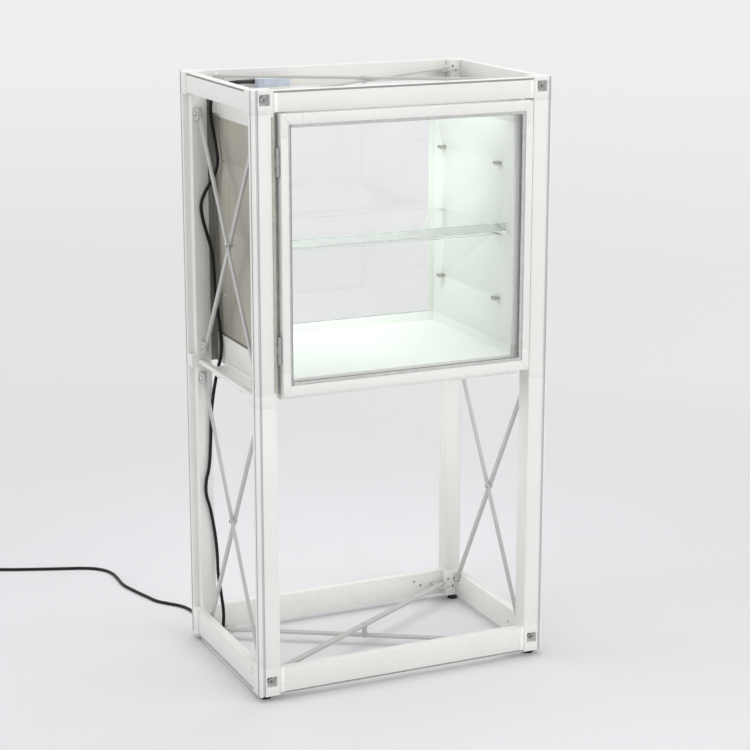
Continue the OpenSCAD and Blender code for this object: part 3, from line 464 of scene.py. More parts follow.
def finish(name):
    """The material of that name, made the first time that it is asked for."""
    if name not in STORE:
        look, lamp = finishes(), light()
        makers = {
            "white_paint": lambda: powder_coat("white_powder_coat", look.paint, look.paint_gloss),
            # Whiter plastic; on the front rails' end caps it is partly painted highlight.
            "cap_paint": lambda: powder_coat("white_cap_plastic", (0.90, 0.90, 0.875), 0.30),
            "door_paint": lambda: door_coat("door_powder_coat", look.paint, look.paint_gloss),
            "lining": lambda: powder_coat("white_lining", look.lining, look.paint_gloss),
            "panel": lambda: panel_coat_with_painted_light("panel_coat_with_painted_light", look.lining, look.panel_back, look.paint_gloss),
            "steel": lambda: metal("zinc_plated_steel", look.steel, 0.34),
            "grey_seal": lambda: seal_rubber("grey_seal_rubber_painted_shade", look.seal, 0.55),
            # Painted shade: grey of the strips in the gaps beside the door.
            "gap_shade_grey": lambda: moulded("gap_strip_painted_shade", (0.50, 0.50, 0.485), 0.55),
            # Painted shade: grey of the strip on the hinge post's inner edge.
            "post_edge_shade": lambda: moulded("post_edge_painted_shade", (0.44, 0.445, 0.38), 0.55),
            "black_rubber": lambda: moulded("black_cord_rubber", look.rubber, 0.46, sheen=0.25),
            "black_plastic": lambda: moulded("black_plastic", look.plastic, 0.40),
            "pale_blue_plastic": lambda: moulded("driver_plastic", look.driver, 0.34, 900.0, 0.12),
            "grey_plastic": lambda: moulded("strap_plastic", look.strap, 0.5),
            "brace_paint": lambda: powder_coat("brace_powder_coat", look.brace, 0.5),
            "clip_pad": lambda: moulded("clip_pad_rubber", (0.33, 0.335, 0.28), 0.6),
            "clip_tab": lambda: moulded("clip_tab_plastic", (0.56, 0.55, 0.48), 0.5),
            # Painted shade: colour of the strips behind the case.
            "drab_and_shade": lambda: powder_coat("back_strip_painted_shade", (0.25, 0.25, 0.22), 0.6),
            "groove": lambda: powder_coat("groove_shadow", look.groove, 0.7),
            "post_groove": lambda: powder_coat("post_groove_shadow", look.post_groove, 0.7),
            "hinge_paint": lambda: powder_coat("hinge_coat_and_gap_shade", (0.34, 0.34, 0.33), 0.45),
            "screw_paint": lambda: metal("dark_screw", (0.22, 0.22, 0.21), 0.5),
            "bolt_paint": lambda: metal("dull_zinc_and_pocket_shade", (0.34, 0.34, 0.32), 0.55),
            "clear_glass": lambda: clear_glass("plate_glass", (0.994, 0.998, 0.997)),
            "lip_glass": lambda: clear_glass("lip_glass", (0.80, 0.81, 0.805), 0.05),
            "shelf_glass": lambda: clear_glass("shelf_glass", (0.955, 0.965, 0.96)),
            "glass_edge": lambda: cut_edge("glass_cut_edge", look.glass_edge),
            "diffuser": lambda: glowing("opal_diffuser", (0.95, 1.0, 0.965), lamp.glow),
            "led": lambda: glowing("light_strip", (0.98, 1.0, 0.95), lamp.glow),
        }
        STORE[name] = makers[name]()
    return STORE[name]


# ------------------------------------------------------------------ modelling


def only(piece):
    """Selects that piece alone and makes it the active one."""
    bpy.ops.object.select_all(action="DESELECT")
    piece.select_set(True)
    bpy.context.view_layer.objects.active = piece
    return piece


def take(name):
    """Names the primitive that was just added."""
    piece = bpy.context.active_object
    piece.name = name
    piece.data.name = name
    return piece


def settle():
    """Puts the active piece's place, turn and size into its mesh."""
    bpy.ops.object.transform_apply(location=True, rotation=True, scale=True)


def choose(kind, test):
    """In edit mode, selects the faces or edges that pass the test, and nothing else."""
    bpy.ops.mesh.select_mode(type=kind)
    bpy.ops.mesh.select_all(action="DESELECT")
    shape = bmesh.from_edit_mesh(bpy.context.edit_object.data)
    for part in shape.faces if kind == "FACE" else shape.edges:
        if test(part):
            part.select_set(True)
    shape.select_flush_mode()
    bmesh.update_edit_mesh(bpy.context.edit_object.data)


def middle(part):
    """Centre of a face or an edge."""
    points = [v.co for v in part.verts]
    return sum(points, Vector()) / len(points)


def edit():
    bpy.ops.object.mode_set(mode="EDIT")


def leave():
    bpy.ops.object.mode_set(mode="OBJECT")


def modifier(piece, kind, **settings):
    """Adds a modifier to the active piece and applies it."""
    only(piece)
    made = piece.modifiers.new(kind.lower(), kind)
    for name, value in settings.items():
        setattr(made, name, value)
    bpy.ops.object.modifier_apply(modifier=made.name)


def smooth(piece, angle=35.0):
    only(piece)
    bpy.ops.object.shade_smooth_by_angle(angle=radians(angle))


def round_edges(piece, width, segments=2, angle=35.0, clamp=True):
    modifier(piece, "BEVEL", width=width, segments=segments, limit_method="ANGLE",
             angle_limit=radians(angle), use_clamp_overlap=clamp, miter_outer="MITER_ARC")
    smooth(piece)


def box(name, low, high):
    """A box between two corners, as a start for a piece."""
    low, high = Vector(low), Vector(high)
    bpy.ops.mesh.primitive_cube_add(size=1.0, location=(low + high) / 2)
    piece = take(name)
    piece.scale = high - low
    settle()
    return piece


def rod(name, radius, low, high, sides=32):
    """A cylinder up Z between two heights, as a start for a piece."""
    bpy.ops.mesh.primitive_cylinder_add(
        vertices=sides, radius=radius, depth=high - low, location=(0.0, 0.0, (low + high) / 2))
    piece = take(name)
    settle()
    return piece


def merge(*pieces):
    """Joins pieces into the first one."""
    bpy.ops.object.select_all(action="DESELECT")
    for piece in pieces:
        piece.select_set(True)
    bpy.context.view_layer.objects.active = pieces[0]
    bpy.ops.object.join()
    return pieces[0]


def turned_to(direction):
    """Turn that takes +Z to the direction."""
    return Vector(direction).to_track_quat("Z", "Y").to_matrix().to_4x4()


def copy_at(piece, name, place, direction=(0.0, 0.0, 1.0)):
    """A copy with its own mesh, its origin put at place and its +Z along direction."""
    mesh = piece.data.copy()
    mesh.transform(Matrix.Translation(Vector(place)) @ turned_to(direction))
    made = bpy.data.objects.new(name, mesh)
    bpy.context.scene.collection.objects.link(made)
    return made


def side_name(side):
    return "left" if side < 0 else "right"


def discard(piece):
    mesh = piece.data
    bpy.data.objects.remove(piece)
    bpy.data.meshes.remove(mesh)


def fit(piece, body, slot, *nodes, look=None):
    """Gives a finished piece its material, its body and its place in the part."""
    piece.data.materials.clear()
    piece.data.materials.append(finish(look or slot))
    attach(piece, body)
    if nodes:
        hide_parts(*nodes)
    return piece


def merged_copy(node, name):
    """A copy of a solid's mesh with its corners merged and its flat faces made whole."""
    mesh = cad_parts[node].data.copy()
    mesh.name = name
    mesh.materials.clear()
    piece = bpy.data.objects.new(name, mesh)
    bpy.context.scene.collection.objects.link(piece)
    only(piece)
    edit()
    bpy.ops.mesh.select_all(action="SELECT")
    bpy.ops.mesh.remove_doubles(threshold=0.000002)
    bpy.ops.mesh.dissolve_limited(angle_limit=radians(0.6))
    leave()
    return piece


def finished_copy(node, body, slot, width, look=None, segments=2, clamp=True, suffix="_finished"):
    """A solid with its edges rounded and its finish on."""
    piece = merged_copy(node, node + suffix)
    round_edges(piece, width, segments, clamp=clamp)
    return fit(piece, body, slot, node, look=look)


def shells(node):
    """The separate shells of a solid, as pairs of lowest and highest corners."""
    piece = merged_copy(node, node + "_probe")
    shape = bmesh.new()
    shape.from_mesh(piece.data)
    left, found = set(shape.verts), []
    while left:
        queue = [left.pop()]
        group = list(queue)
        while queue:
            for edge in queue.pop().link_edges:
                for vert in edge.verts:
                    if vert in left:
                        left.remove(vert)
                        queue.append(vert)
                        group.append(vert)
        low = Vector([min(v.co[i] for v in group) for i in range(3)])
        high = Vector([max(v.co[i] for v in group) for i in range(3)])
        found.append((low, high))
    shape.free()
    discard(piece)
    return sorted(found, key=lambda pair: tuple(round(c, 4) for c in pair[0]))


# ------------------------------------------------------------------ camera, cord and stage


class STUDIO_OT_camera(bpy.types.Operator):
    """Camera in front of the case, to its left and a little above it"""

    bl_idname = "display_case.camera"
    bl_label = "Camera"

    def execute(self, context):
        yaw, pitch = radians(24.35), radians(-14.34)
        lens = bpy.data.cameras.new("camera")
        lens.lens = 98.77
        lens.sensor_width = 36.0
        lens.clip_end = 100.0
        camera = bpy.data.objects.new("camera", lens)
        context.scene.collection.objects.link(camera)
        camera.location = (-1.674, -3.752, 1.643)
        ahead = Vector((sin(yaw) * cos(pitch), cos(yaw) * cos(pitch), sin(pitch)))
        camera.rotation_euler = ahead.to_track_quat("-Z", "Y").to_euler()
        context.scene.camera = camera
        return {"FINISHED"}


# The lead's route in millimetres, from its connector over the roof, down the frame and over the floor.
CORD_ROUTE = [
    (-214, 145, 1189), (-230, 146, 1188), (-246, 147, 1183), (-260, 147, 1173), (-269, 146, 1158),
    (-272, 145, 1138), (-270, 146, 1112), (-266, 148, 1090), (-264, 140, 1062), (-264, 132, 1036),
    (-266, 138, 1014), (-273, 148, 992), (-285, 156, 966), (-292, 157, 944), (-290, 157, 918),
    (-281, 156, 882), (-273, 154, 850), (-270, 152, 812), (-268, 150, 760), (-263, 148, 712),
    (-261, 142, 672), (-264, 134, 632), (-268, 140, 606), (-269, 150, 584), (-273, 156, 552),
    (-279, 157, 505), (-282, 157, 446), (-287, 157, 386), (-294, 157, 354), (-294, 157, 328),
    (-287, 157, 300), (-281, 157, 268), (-276, 157, 234), (-274, 153, 195), (-275, 146, 149),
    (-272, 139, 109), (-269, 135, 71), (-269, 137, 40), (-268, 148, 20), (-265, 165, 8),
    (-262, 184, 4.1), (-261, 206, 3.6), (-264, 256, 3.5), (-270, 320, 3.5), (-282, 366, 3.5),
    (-304, 396, 3.5), (-322, 420, 3.5), (-336, 462, 3.5), (-350, 510, 3.5), (-360, 556, 3.5),
    (-359, 606, 3.5), (-362, 646, 3.5), (-378, 678, 3.5), (-410, 701, 3.5), (-456, 719, 3.5),
    (-524, 745, 3.5), (-592, 774, 3.5), (-620, 789, 3.5),
]
CORD_TAIL = [(-713, 780, 10), (-714, 764, 10), (-714, 746, 10), (-714, 728, 10)]
COIL_MIDDLE = (-673, 780)
# Turns of the coil: degrees round it, distance from its middle, height.
# Strands lie beside and on each other.
COIL_TURNS = [
    (51.1, 39.8, 3.5), (74, 36.9, 3.5), (290, 36.5, 3.5), (325, 43.3, 3.5), (366, 43.5, 10.5),
    (424, 43.5, 10.5), (500, 43.5, 3.5), (545, 43.5, 3.5), (592, 43.5, 10.5), (642, 36.5, 10.5),
    (800, 36.5, 10.5), (885, 39.6, 10.1),
]
CORD_RADIUS = 0.0035


def eased(amount):
    return amount * amount * (3.0 - 2.0 * amount)


def coil_points(step=24.0):
    """Points round the coil, eased from one turn's place to the next."""
    points, angle = [], COIL_TURNS[0][0]
    while angle <= COIL_TURNS[-1][0]:
        for (a0, r0, z0), (a1, r1, z1) in zip(COIL_TURNS, COIL_TURNS[1:]):
            if a0 <= angle <= a1:
                part = eased((angle - a0) / (a1 - a0))
                reach, height = r0 + (r1 - r0) * part, z0 + (z1 - z0) * part
        turn = radians(angle)
        points.append((COIL_MIDDLE[0] + reach * cos(turn), COIL_MIDDLE[1] + reach * sin(turn), height))
        angle += step
    return points


def cord_points():
    return [Vector(p) * 0.001 for p in CORD_ROUTE + coil_points() + CORD_TAIL]


def tube_curve(name, points, radius, radii=None, sides=4):
    """A round tube along smooth points, as one open spline."""
    curve = bpy.data.curves.new(name, "CURVE")
    curve.dimensions = "3D"
    curve.resolution_u = 6
    curve.bevel_depth = radius
    curve.bevel_resolution = sides
    curve.use_fill_caps = True
    spline = curve.splines.new("BEZIER")
    spline.bezier_points.add(len(points) - 1)
    for i, (knot, point) in enumerate(zip(spline.bezier_points, points)):
        knot.co = point
        knot.handle_left_type = knot.handle_right_type = "AUTO"
        knot.radius = radii[i] if radii else 1.0
    piece = bpy.data.objects.new(name, curve)
    bpy.context.scene.collection.objects.link(piece)
    return piece


def ribbed_relief(name, points, thick, thin, ribs):
    """A tapered strain relief with ribs, along the start of the cord."""
    count = 4 * ribs + 1
    spans = [(b - a).length for a, b in zip(points, points[1:])]
    total = min(sum(spans), sizes().relief_length)
    path, radii = [], []
    for i in range(count):
        want, seen = total * i / (count - 1), 0.0
        for a, b, span in zip(points, points[1:], spans):
            if want <= seen + span or b is points[-1]:
                path.append(a.lerp(b, (want - seen) / span))
                break
            seen += span
        size = thick + (thin - thick) * i / (count - 1)
        radii.append(size * (0.86 if i % 4 == 3 else 1.0) / CORD_RADIUS)
    piece = tube_curve(name, path, CORD_RADIUS, radii, 5)
    only(piece)
    bpy.ops.object.convert(target="MESH")
    smooth(piece, 50.0)
    return piece


PLUG_LENGTH = 0.036
PIN_RADIUS = 0.0024
PIN_LENGTH = 0.019
PIN_PITCH = 0.019
# Rings cut in the connector's shell. The deep ones make its grip, and the last two its collar.
GRIP_DEEP = (0.0055, 0.0085, 0.0115)
GRIP_PROUD = (0.004, 0.007, 0.010)
COLLAR = (0.0255, 0.0275)


class CASE_OT_cord(bpy.types.Operator):
    """Lead with its connector, strain reliefs, coil, strap and plug"""

    bl_idname = "display_case.cord"
    bl_label = "Lead"

    def execute(self, context):
        points = cord_points()
        cord = tube_curve("cord", points, CORD_RADIUS)
        cord.data.materials.append(finish("black_rubber"))
        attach(cord, "frame")
        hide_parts("cord_tube", "cord_coil")
        relief = ribbed_relief("connector_relief", points[:5], 0.0044, 0.0037, 5)
        fit(relief, "frame", "black_plastic")
        plug_relief = ribbed_relief("plug_relief", points[:-5:-1], 0.0062, 0.0038, 5)
        fit(plug_relief, "frame", "black_plastic")
        body, pins = self.plug()
        strap = finished_copy("cord_tie", "frame", "grey_plastic", 0.0003, clamp=False)
        self.connector()
        return {"FINISHED"}

    def plug(self):
        """Moulded plug body with a soft waist, and its two round pins."""
        low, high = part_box("plug")
        back_y = high.y
        face_y = back_y - PLUG_LENGTH
        body = box("plug_body", (low.x, face_y, low.z), (high.x, back_y, high.z))
        edit()
        choose("FACE", lambda f: f.normal.y < -0.9)
        bpy.ops.mesh.inset(thickness=0.0022, depth=0.0)
        bpy.ops.mesh.extrude_region_move(TRANSFORM_OT_translate={"value": (0.0, 0.0012, 0.0)})
        bpy.ops.mesh.select_all(action="SELECT")
        bpy.ops.mesh.bisect(plane_co=(0.0, face_y + 0.024, 0.0), plane_no=(0.0, 1.0, 0.0))
        choose("FACE", lambda f: f.normal.y > 0.9 and middle(f).y > back_y - 0.001)
        bpy.ops.transform.resize(value=(0.62, 1.0, 0.74))
        leave()
        round_edges(body, 0.0030, 5, 20.0)
        fit(body, "frame", "black_plastic", "plug")
        made = []
        for side in (-1, 1):
            pin = rod(f"pin_{side}", PIN_RADIUS, 0.0, PIN_LENGTH, 24)
            edit()
            choose("FACE", lambda f: f.normal.z > 0.9)
            bpy.ops.mesh.bevel(offset=0.0011, segments=3)
            leave()
            root = ((low.x + high.x) / 2 + side * PIN_PITCH / 2, face_y, (low.z + high.z) / 2)
            made.append(copy_at(pin, f"pin_at_{side}", root, (0, -1, 0)))
            discard(pin)
        pins = merge(*made)
        pins.name = "plug_pins"
        smooth(pins)
        fit(pins, "frame", "steel", look="steel")
        return body, pins

    def connector(self):
        """Round connector with a grip of fine grooves and a collar at the driver."""
        low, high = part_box("cord_connector")
        piece = rod("connector_shell", 0.0043, 0.0, high.x - low.x, 40)
        length = high.x - low.x
        edit()
        for cut in sorted(GRIP_DEEP + GRIP_PROUD + COLLAR):
            bpy.ops.mesh.select_all(action="SELECT")
            bpy.ops.mesh.bisect(plane_co=(0.0, 0.0, cut), plane_no=(0.0, 0.0, 1.0))
        choose("EDGE", lambda e: any(abs(middle(e).z - c) < 1e-5 for c in GRIP_DEEP)
               and all(abs(v.co.z - middle(e).z) < 1e-5 for v in e.verts))
        bpy.ops.transform.resize(value=(0.90, 0.90, 1.0))
        choose("FACE", lambda f: COLLAR[1] - 0.0001 < middle(f).z < length - 0.0001
               and abs(f.normal.z) < 0.1)
        bpy.ops.transform.resize(value=(1.045, 1.045, 1.0))
        choose("FACE", lambda f: abs(f.normal.z) > 0.9)
        bpy.ops.mesh.bevel(offset=0.0007, segments=2)
        leave()
        root = (low.x, (low.y + high.y) / 2, (low.z + high.z) / 2)
        made = copy_at(piece, "connector_body", root, (1, 0, 0))
        discard(piece)
        smooth(made)
        return fit(made, "frame", "black_plastic", "cord_connector")


# Each soft lamp's place, the height on the case's middle that it faces, and its width.
STUDIO_LAMPS = {
    "key_light": ((2.6, -3.8, 3.4), 0.7, 3.2),
    "front_light": ((0.3, -5.0, 1.4), 0.6, 2.4),
    "fill_light": ((-4.4, 1.0, 1.8), 0.7, 3.0),
    "top_light": ((0.2, 0.4, 4.6), 0.6, 3.6),
}


class STUDIO_OT_stage(bpy.types.Operator):
    """Pale seamless floor and backdrop, with soft studio light"""

    bl_idname = "display_case.stage"
    bl_label = "Stage"

    def execute(self, context):
        lamp = light()
        self.seamless(context)
        powers = {"key_light": lamp.key, "front_light": lamp.front, "fill_light": lamp.fill,
                  "top_light": lamp.top}
        for name, (place, aim_height, size) in STUDIO_LAMPS.items():
            self.lamp(context, name, place, (0.0, 0.0, aim_height), size, powers[name])
        self.case_lamp(context, lamp.strip)
        self.bay_lamp(context, lamp.bay)
        self.roof_lamp(context, lamp.roof)
        world = bpy.data.worlds.new("studio")
        context.scene.world = world
        world.use_nodes = True
        shade = world.node_tree.nodes["Background"]
        shade.inputs["Color"].default_value = (0.985, 0.985, 1.0, 1.0)
        seen = self.seen_rays(world)
        level = add(world, "MapRange", {"Value": seen, "To Min": lamp.world, "To Max": lamp.mirrored})
        world.node_tree.links.new(level.outputs[0], shade.inputs["Strength"])
        context.scene.view_settings.view_transform = "Standard"
        return {"FINISHED"}

    def case_lamp(self, context, power):
        """The case's own light, under its diffuser and towards the back."""
        low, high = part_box("light_diffuser")
        length, depth = high.x - low.x, high.y - low.y
        place = ((low.x + high.x) / 2, high.y - 0.30 * depth, low.z - 0.006)
        sheet = self.hidden_sheet(context, "case_light", place, (0.60 * length, 0.45 * depth),
                                  power, (0.93, 1.0, 0.945))
        sheet.data.spread = radians(125.0)

    def bay_lamp(self, context, power):
        """Soft light that falls from under the case on the bottom rails and the floor."""
        low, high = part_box("floor_pan")
        place = ((low.x + high.x) / 2, (low.y + high.y) / 2, low.z - 0.012)
        self.hidden_sheet(context, "bay_light", place, (0.8 * (high.x - low.x), 0.7 * (high.y - low.y)),
                          power, (1.0, 0.99, 0.97))

    def roof_lamp(self, context, power):
        """Soft light between the top rails, on the roof and the rails' inner faces."""
        place = (0.0, 0.0, FRAME_HIGH.z - 0.008)
        self.hidden_sheet(context, "roof_light", place, (0.58, 0.35), power, (1.0, 0.995, 0.98))

    def hidden_sheet(self, context, name, place, size, power, colour):
        """A level sheet of light, facing down, that itself stays unseen also in the glass."""
        data = bpy.data.lights.new(name, "AREA")
        data.shape = "RECTANGLE"
        data.size, data.size_y = size
        data.color = colour
        data.energy = power
        made = bpy.data.objects.new(name, data)
        context.scene.collection.objects.link(made)
        made.location = place
        made.visible_camera = made.visible_glossy = made.visible_transmission = False
        return made

    def seen_rays(self, tree_owner):
        """One where a ray comes from the camera, a mirroring surface or glass, else nought."""
        path = add(tree_owner, "LightPath").outputs
        seen = sum_up(tree_owner, "MAXIMUM", path["Is Camera Ray"], path["Is Glossy Ray"])
        return sum_up(tree_owner, "MAXIMUM", seen, path["Is Transmission Ray"])

    def seamless(self, context):
        """A wide sheet of paper on the floor, and a bounce board behind that itself stays unseen."""
        sheet = self.curved_sheet("seamless_sheet", 80.0, -40.0, 40.0, 43.0, 6.0)
        board = self.curved_sheet("bounce_board", 16.0, 2.6, 3.0, 4.6, 7.0, 0.001)
        board.visible_camera = board.visible_glossy = board.visible_transmission = False
        material, shader = blank("seamless_paper")
        lamp = light()
        coords = on_object(material)
        away = add(material, "VectorMath", {0: coords}, operation="LENGTH").outputs["Value"]
        cloud = noise(material, coords, 0.6, 2.0)
        tone = mix(material, spread(material, cloud, 0.3, 0.7, 0.0, 0.06), rgba(lamp.floor),
                   rgba(lamp.floor, 0.96))
        wire(material, tone, shader, "Base Color")
        shader.inputs["Roughness"].default_value = 0.85
        shader.inputs["Specular IOR Level"].default_value = 0.2
        x = add(material, "SeparateXYZ", {0: coords}).outputs[0]
        sideways = sum_up(material, "DIVIDE", x, away)
        wall = mix(material, spread(material, sideways, -0.06, 0.74),
                   rgba(lamp.backdrop_left), rgba(lamp.backdrop_right))
        shrink = sum_up(material, "DIVIDE", 1.0, sum_up(material, "ADD", away, 4.1))
        upward = spread(material, shrink, 0.060, 0.118, 1.0, 0.0)
        wall = mix(material, upward, wall, rgba(lamp.backdrop_top))
        even = add(material, "Emission", {"Color": wall, "Strength": 1.0})
        far = spread(material, away, 1.0, 2.5)
        share = sum_up(material, "MULTIPLY", self.seen_rays(material), far)
        both = add(material, "MixShader", {0: share, 1: shader.outputs[0], 2: even.outputs[0]})
        output = next(n for n in material.node_tree.nodes if n.type == "OUTPUT_MATERIAL")
        material.node_tree.links.new(both.outputs[0], output.inputs["Surface"])
        for made in (sheet, board):
            made.data.materials.append(material)

    def curved_sheet(self, name, width, front, fold, back, top, level=0.0):
        """A sheet that runs level from front to fold, then curves up to its top at the back."""
        bpy.ops.mesh.primitive_plane_add(size=1.0, location=(0.0, (front + fold) / 2, level))
        sheet = take(name)
        sheet.scale = (width, fold - front, 1.0)
        settle()
        edit()
        choose("EDGE", lambda e: middle(e).y > fold - 0.01)
        bpy.ops.mesh.extrude_region_move(TRANSFORM_OT_translate={"value": (0.0, back - fold, 0.0)})
        bpy.ops.mesh.extrude_region_move(TRANSFORM_OT_translate={"value": (0.0, 0.0, top)})
        choose("EDGE", lambda e: abs(middle(e).y - back) < 0.01 and middle(e).z < level + 0.01)
        bpy.ops.mesh.bevel(offset=back - fold - 0.1, segments=16)
        leave()
        smooth(sheet, 60.0)
        return sheet

    def lamp(self, context, name, place, aim, size, power):
        """A soft square lamp that faces its aim."""
        data = bpy.data.lights.new(name, "AREA")
        data.shape = "SQUARE"
        data.size = size
        data.energy = power
        made = bpy.data.objects.new(name, data)
        context.scene.collection.objects.link(made)
        made.location = place
        made.rotation_euler = (Vector(aim) - Vector(place)).to_track_quat("-Z", "Y").to_euler()


# ------------------------------------------------------------------ frame


GROOVE_DEPTH = 0.0031
POST_GROOVE = (0.0064, 0.0122)
RAIL_GROOVES = ((0.0132, 0.0172), (1.2058, 1.2097))
POCKET_DEPTH = 0.012


def shade_grooves(piece):
    """Gives the faces inside the shadow grooves and the blocks' pockets a darker grey: painted shade."""
    piece.data.materials.append(finish("groove"))
    piece.data.materials.append(finish("post_groove"))
    reach_x, reach_y = FRAME_HIGH.x, FRAME_HIGH.y
    for face in piece.data.polygons:
        in_x, in_y = reach_x - abs(face.center.x), reach_y - abs(face.center.y)
        sunk = 0.0006 < min(in_x, in_y) < GROOVE_DEPTH
        beside = POST_GROOVE[0] < max(in_x, in_y) < POST_GROOVE[1]
        inset = min(in_x, in_y) - 0.002
        level = any(low < face.center.z < high for low, high in RAIL_GROOVES)
        pocket_back = abs(in_y - POCKET_DEPTH) < 0.0005 and abs(face.normal.y) > 0.9
        pocket_top = face.normal.z < -0.9 and 0.0010 < in_y < POCKET_DEPTH and face.area < 0.0004
        if sunk and beside:
            face.material_index = 2
        elif level and 0.0006 < inset < GROOVE_DEPTH and "rail" in piece.name:
            face.material_index = 1
        elif "blocks" in piece.name and (pocket_back or pocket_top):
            face.material_index = 2


class CASE_OT_posts(bpy.types.Operator):
    """Posts, corner blocks and middle joint blocks of the frame"""

    bl_idname = "display_case.posts"
    bl_label = "Posts and blocks"

    def execute(self, context):
        for tier in ("lower", "upper"):
            for place in ("front_left", "front_right", "back_left", "back_right"):
                shade_grooves(finished_copy(f"{tier}_post_{place}", "frame", "white_paint",
                                            sizes().edge_round, clamp=False))
        for node in ("bottom_corner_blocks", "middle_joint_blocks", "top_corner_blocks"):
            shade_grooves(finished_copy(node, "frame", "white_paint", 0.0004, clamp=False))
        return {"FINISHED"}


class CASE_OT_rails(bpy.types.Operator):
    """Rails with their end caps, the middle bars and the case's brackets"""

    bl_idname = "display_case.rails"
    bl_label = "Rails and bars"

    def execute(self, context):
        for tier in ("bottom", "top"):
            for place in ("front", "back", "left", "right"):
                shade_grooves(finished_copy(f"{tier}_rail_{place}", "frame", "white_paint",
                                            sizes().edge_round, clamp=False))
            for side in (-1, 1):
                self.cap(tier, side)
        finished_copy("middle_bars", "frame", "white_paint", sizes().edge_round)
        finished_copy("case_brackets", "frame", "white_paint", sizes().edge_round)
        return {"FINISHED"}

    def cap(self, tier, side):
        """Moulded cap over one end of a front rail, rounded on its upright edges. Its plastic is whiter
        than the paint, partly as painted highlight of the rail's end.
        """
        low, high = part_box(f"{tier}_rail_front")
        if tier == "bottom":
            z0, z1 = low.z + 0.0046, high.z + 0.0004
        else:
            z0, z1 = low.z - 0.0004, high.z - 0.0046
        width = sizes().cap_width
        end = side * (high.x - 0.0001)
        inner = side * (high.x - width)
        cap = box(f"{tier}_rail_cap_{side_name(side)}",
                  (min(end, inner), low.y - 0.0014, z0), (max(end, inner), low.y + 0.0040, z1))
        edit()
        choose("EDGE", lambda e: middle(e).y < low.y and abs(e.verts[0].co.z - e.verts[1].co.z) > 0.01)
        bpy.ops.mesh.bevel(offset=0.0013, segments=4)
        leave()
        round_edges(cap, 0.0004, 2, 40.0)
        fit(cap, "frame", "white_paint", look="cap_paint")


HEAD_RADIUS, HEAD_HEIGHT = 0.0045, 0.003
NUT_RADIUS, NUT_HEIGHT = 0.0047, 0.003
CORNER_HEAD_RADIUS, CORNER_HEAD_HEIGHT = 0.0060, 0.006
SIDE_BOLTS_FROM = 0.28
NUT_FROM_LENGTH = 0.0145


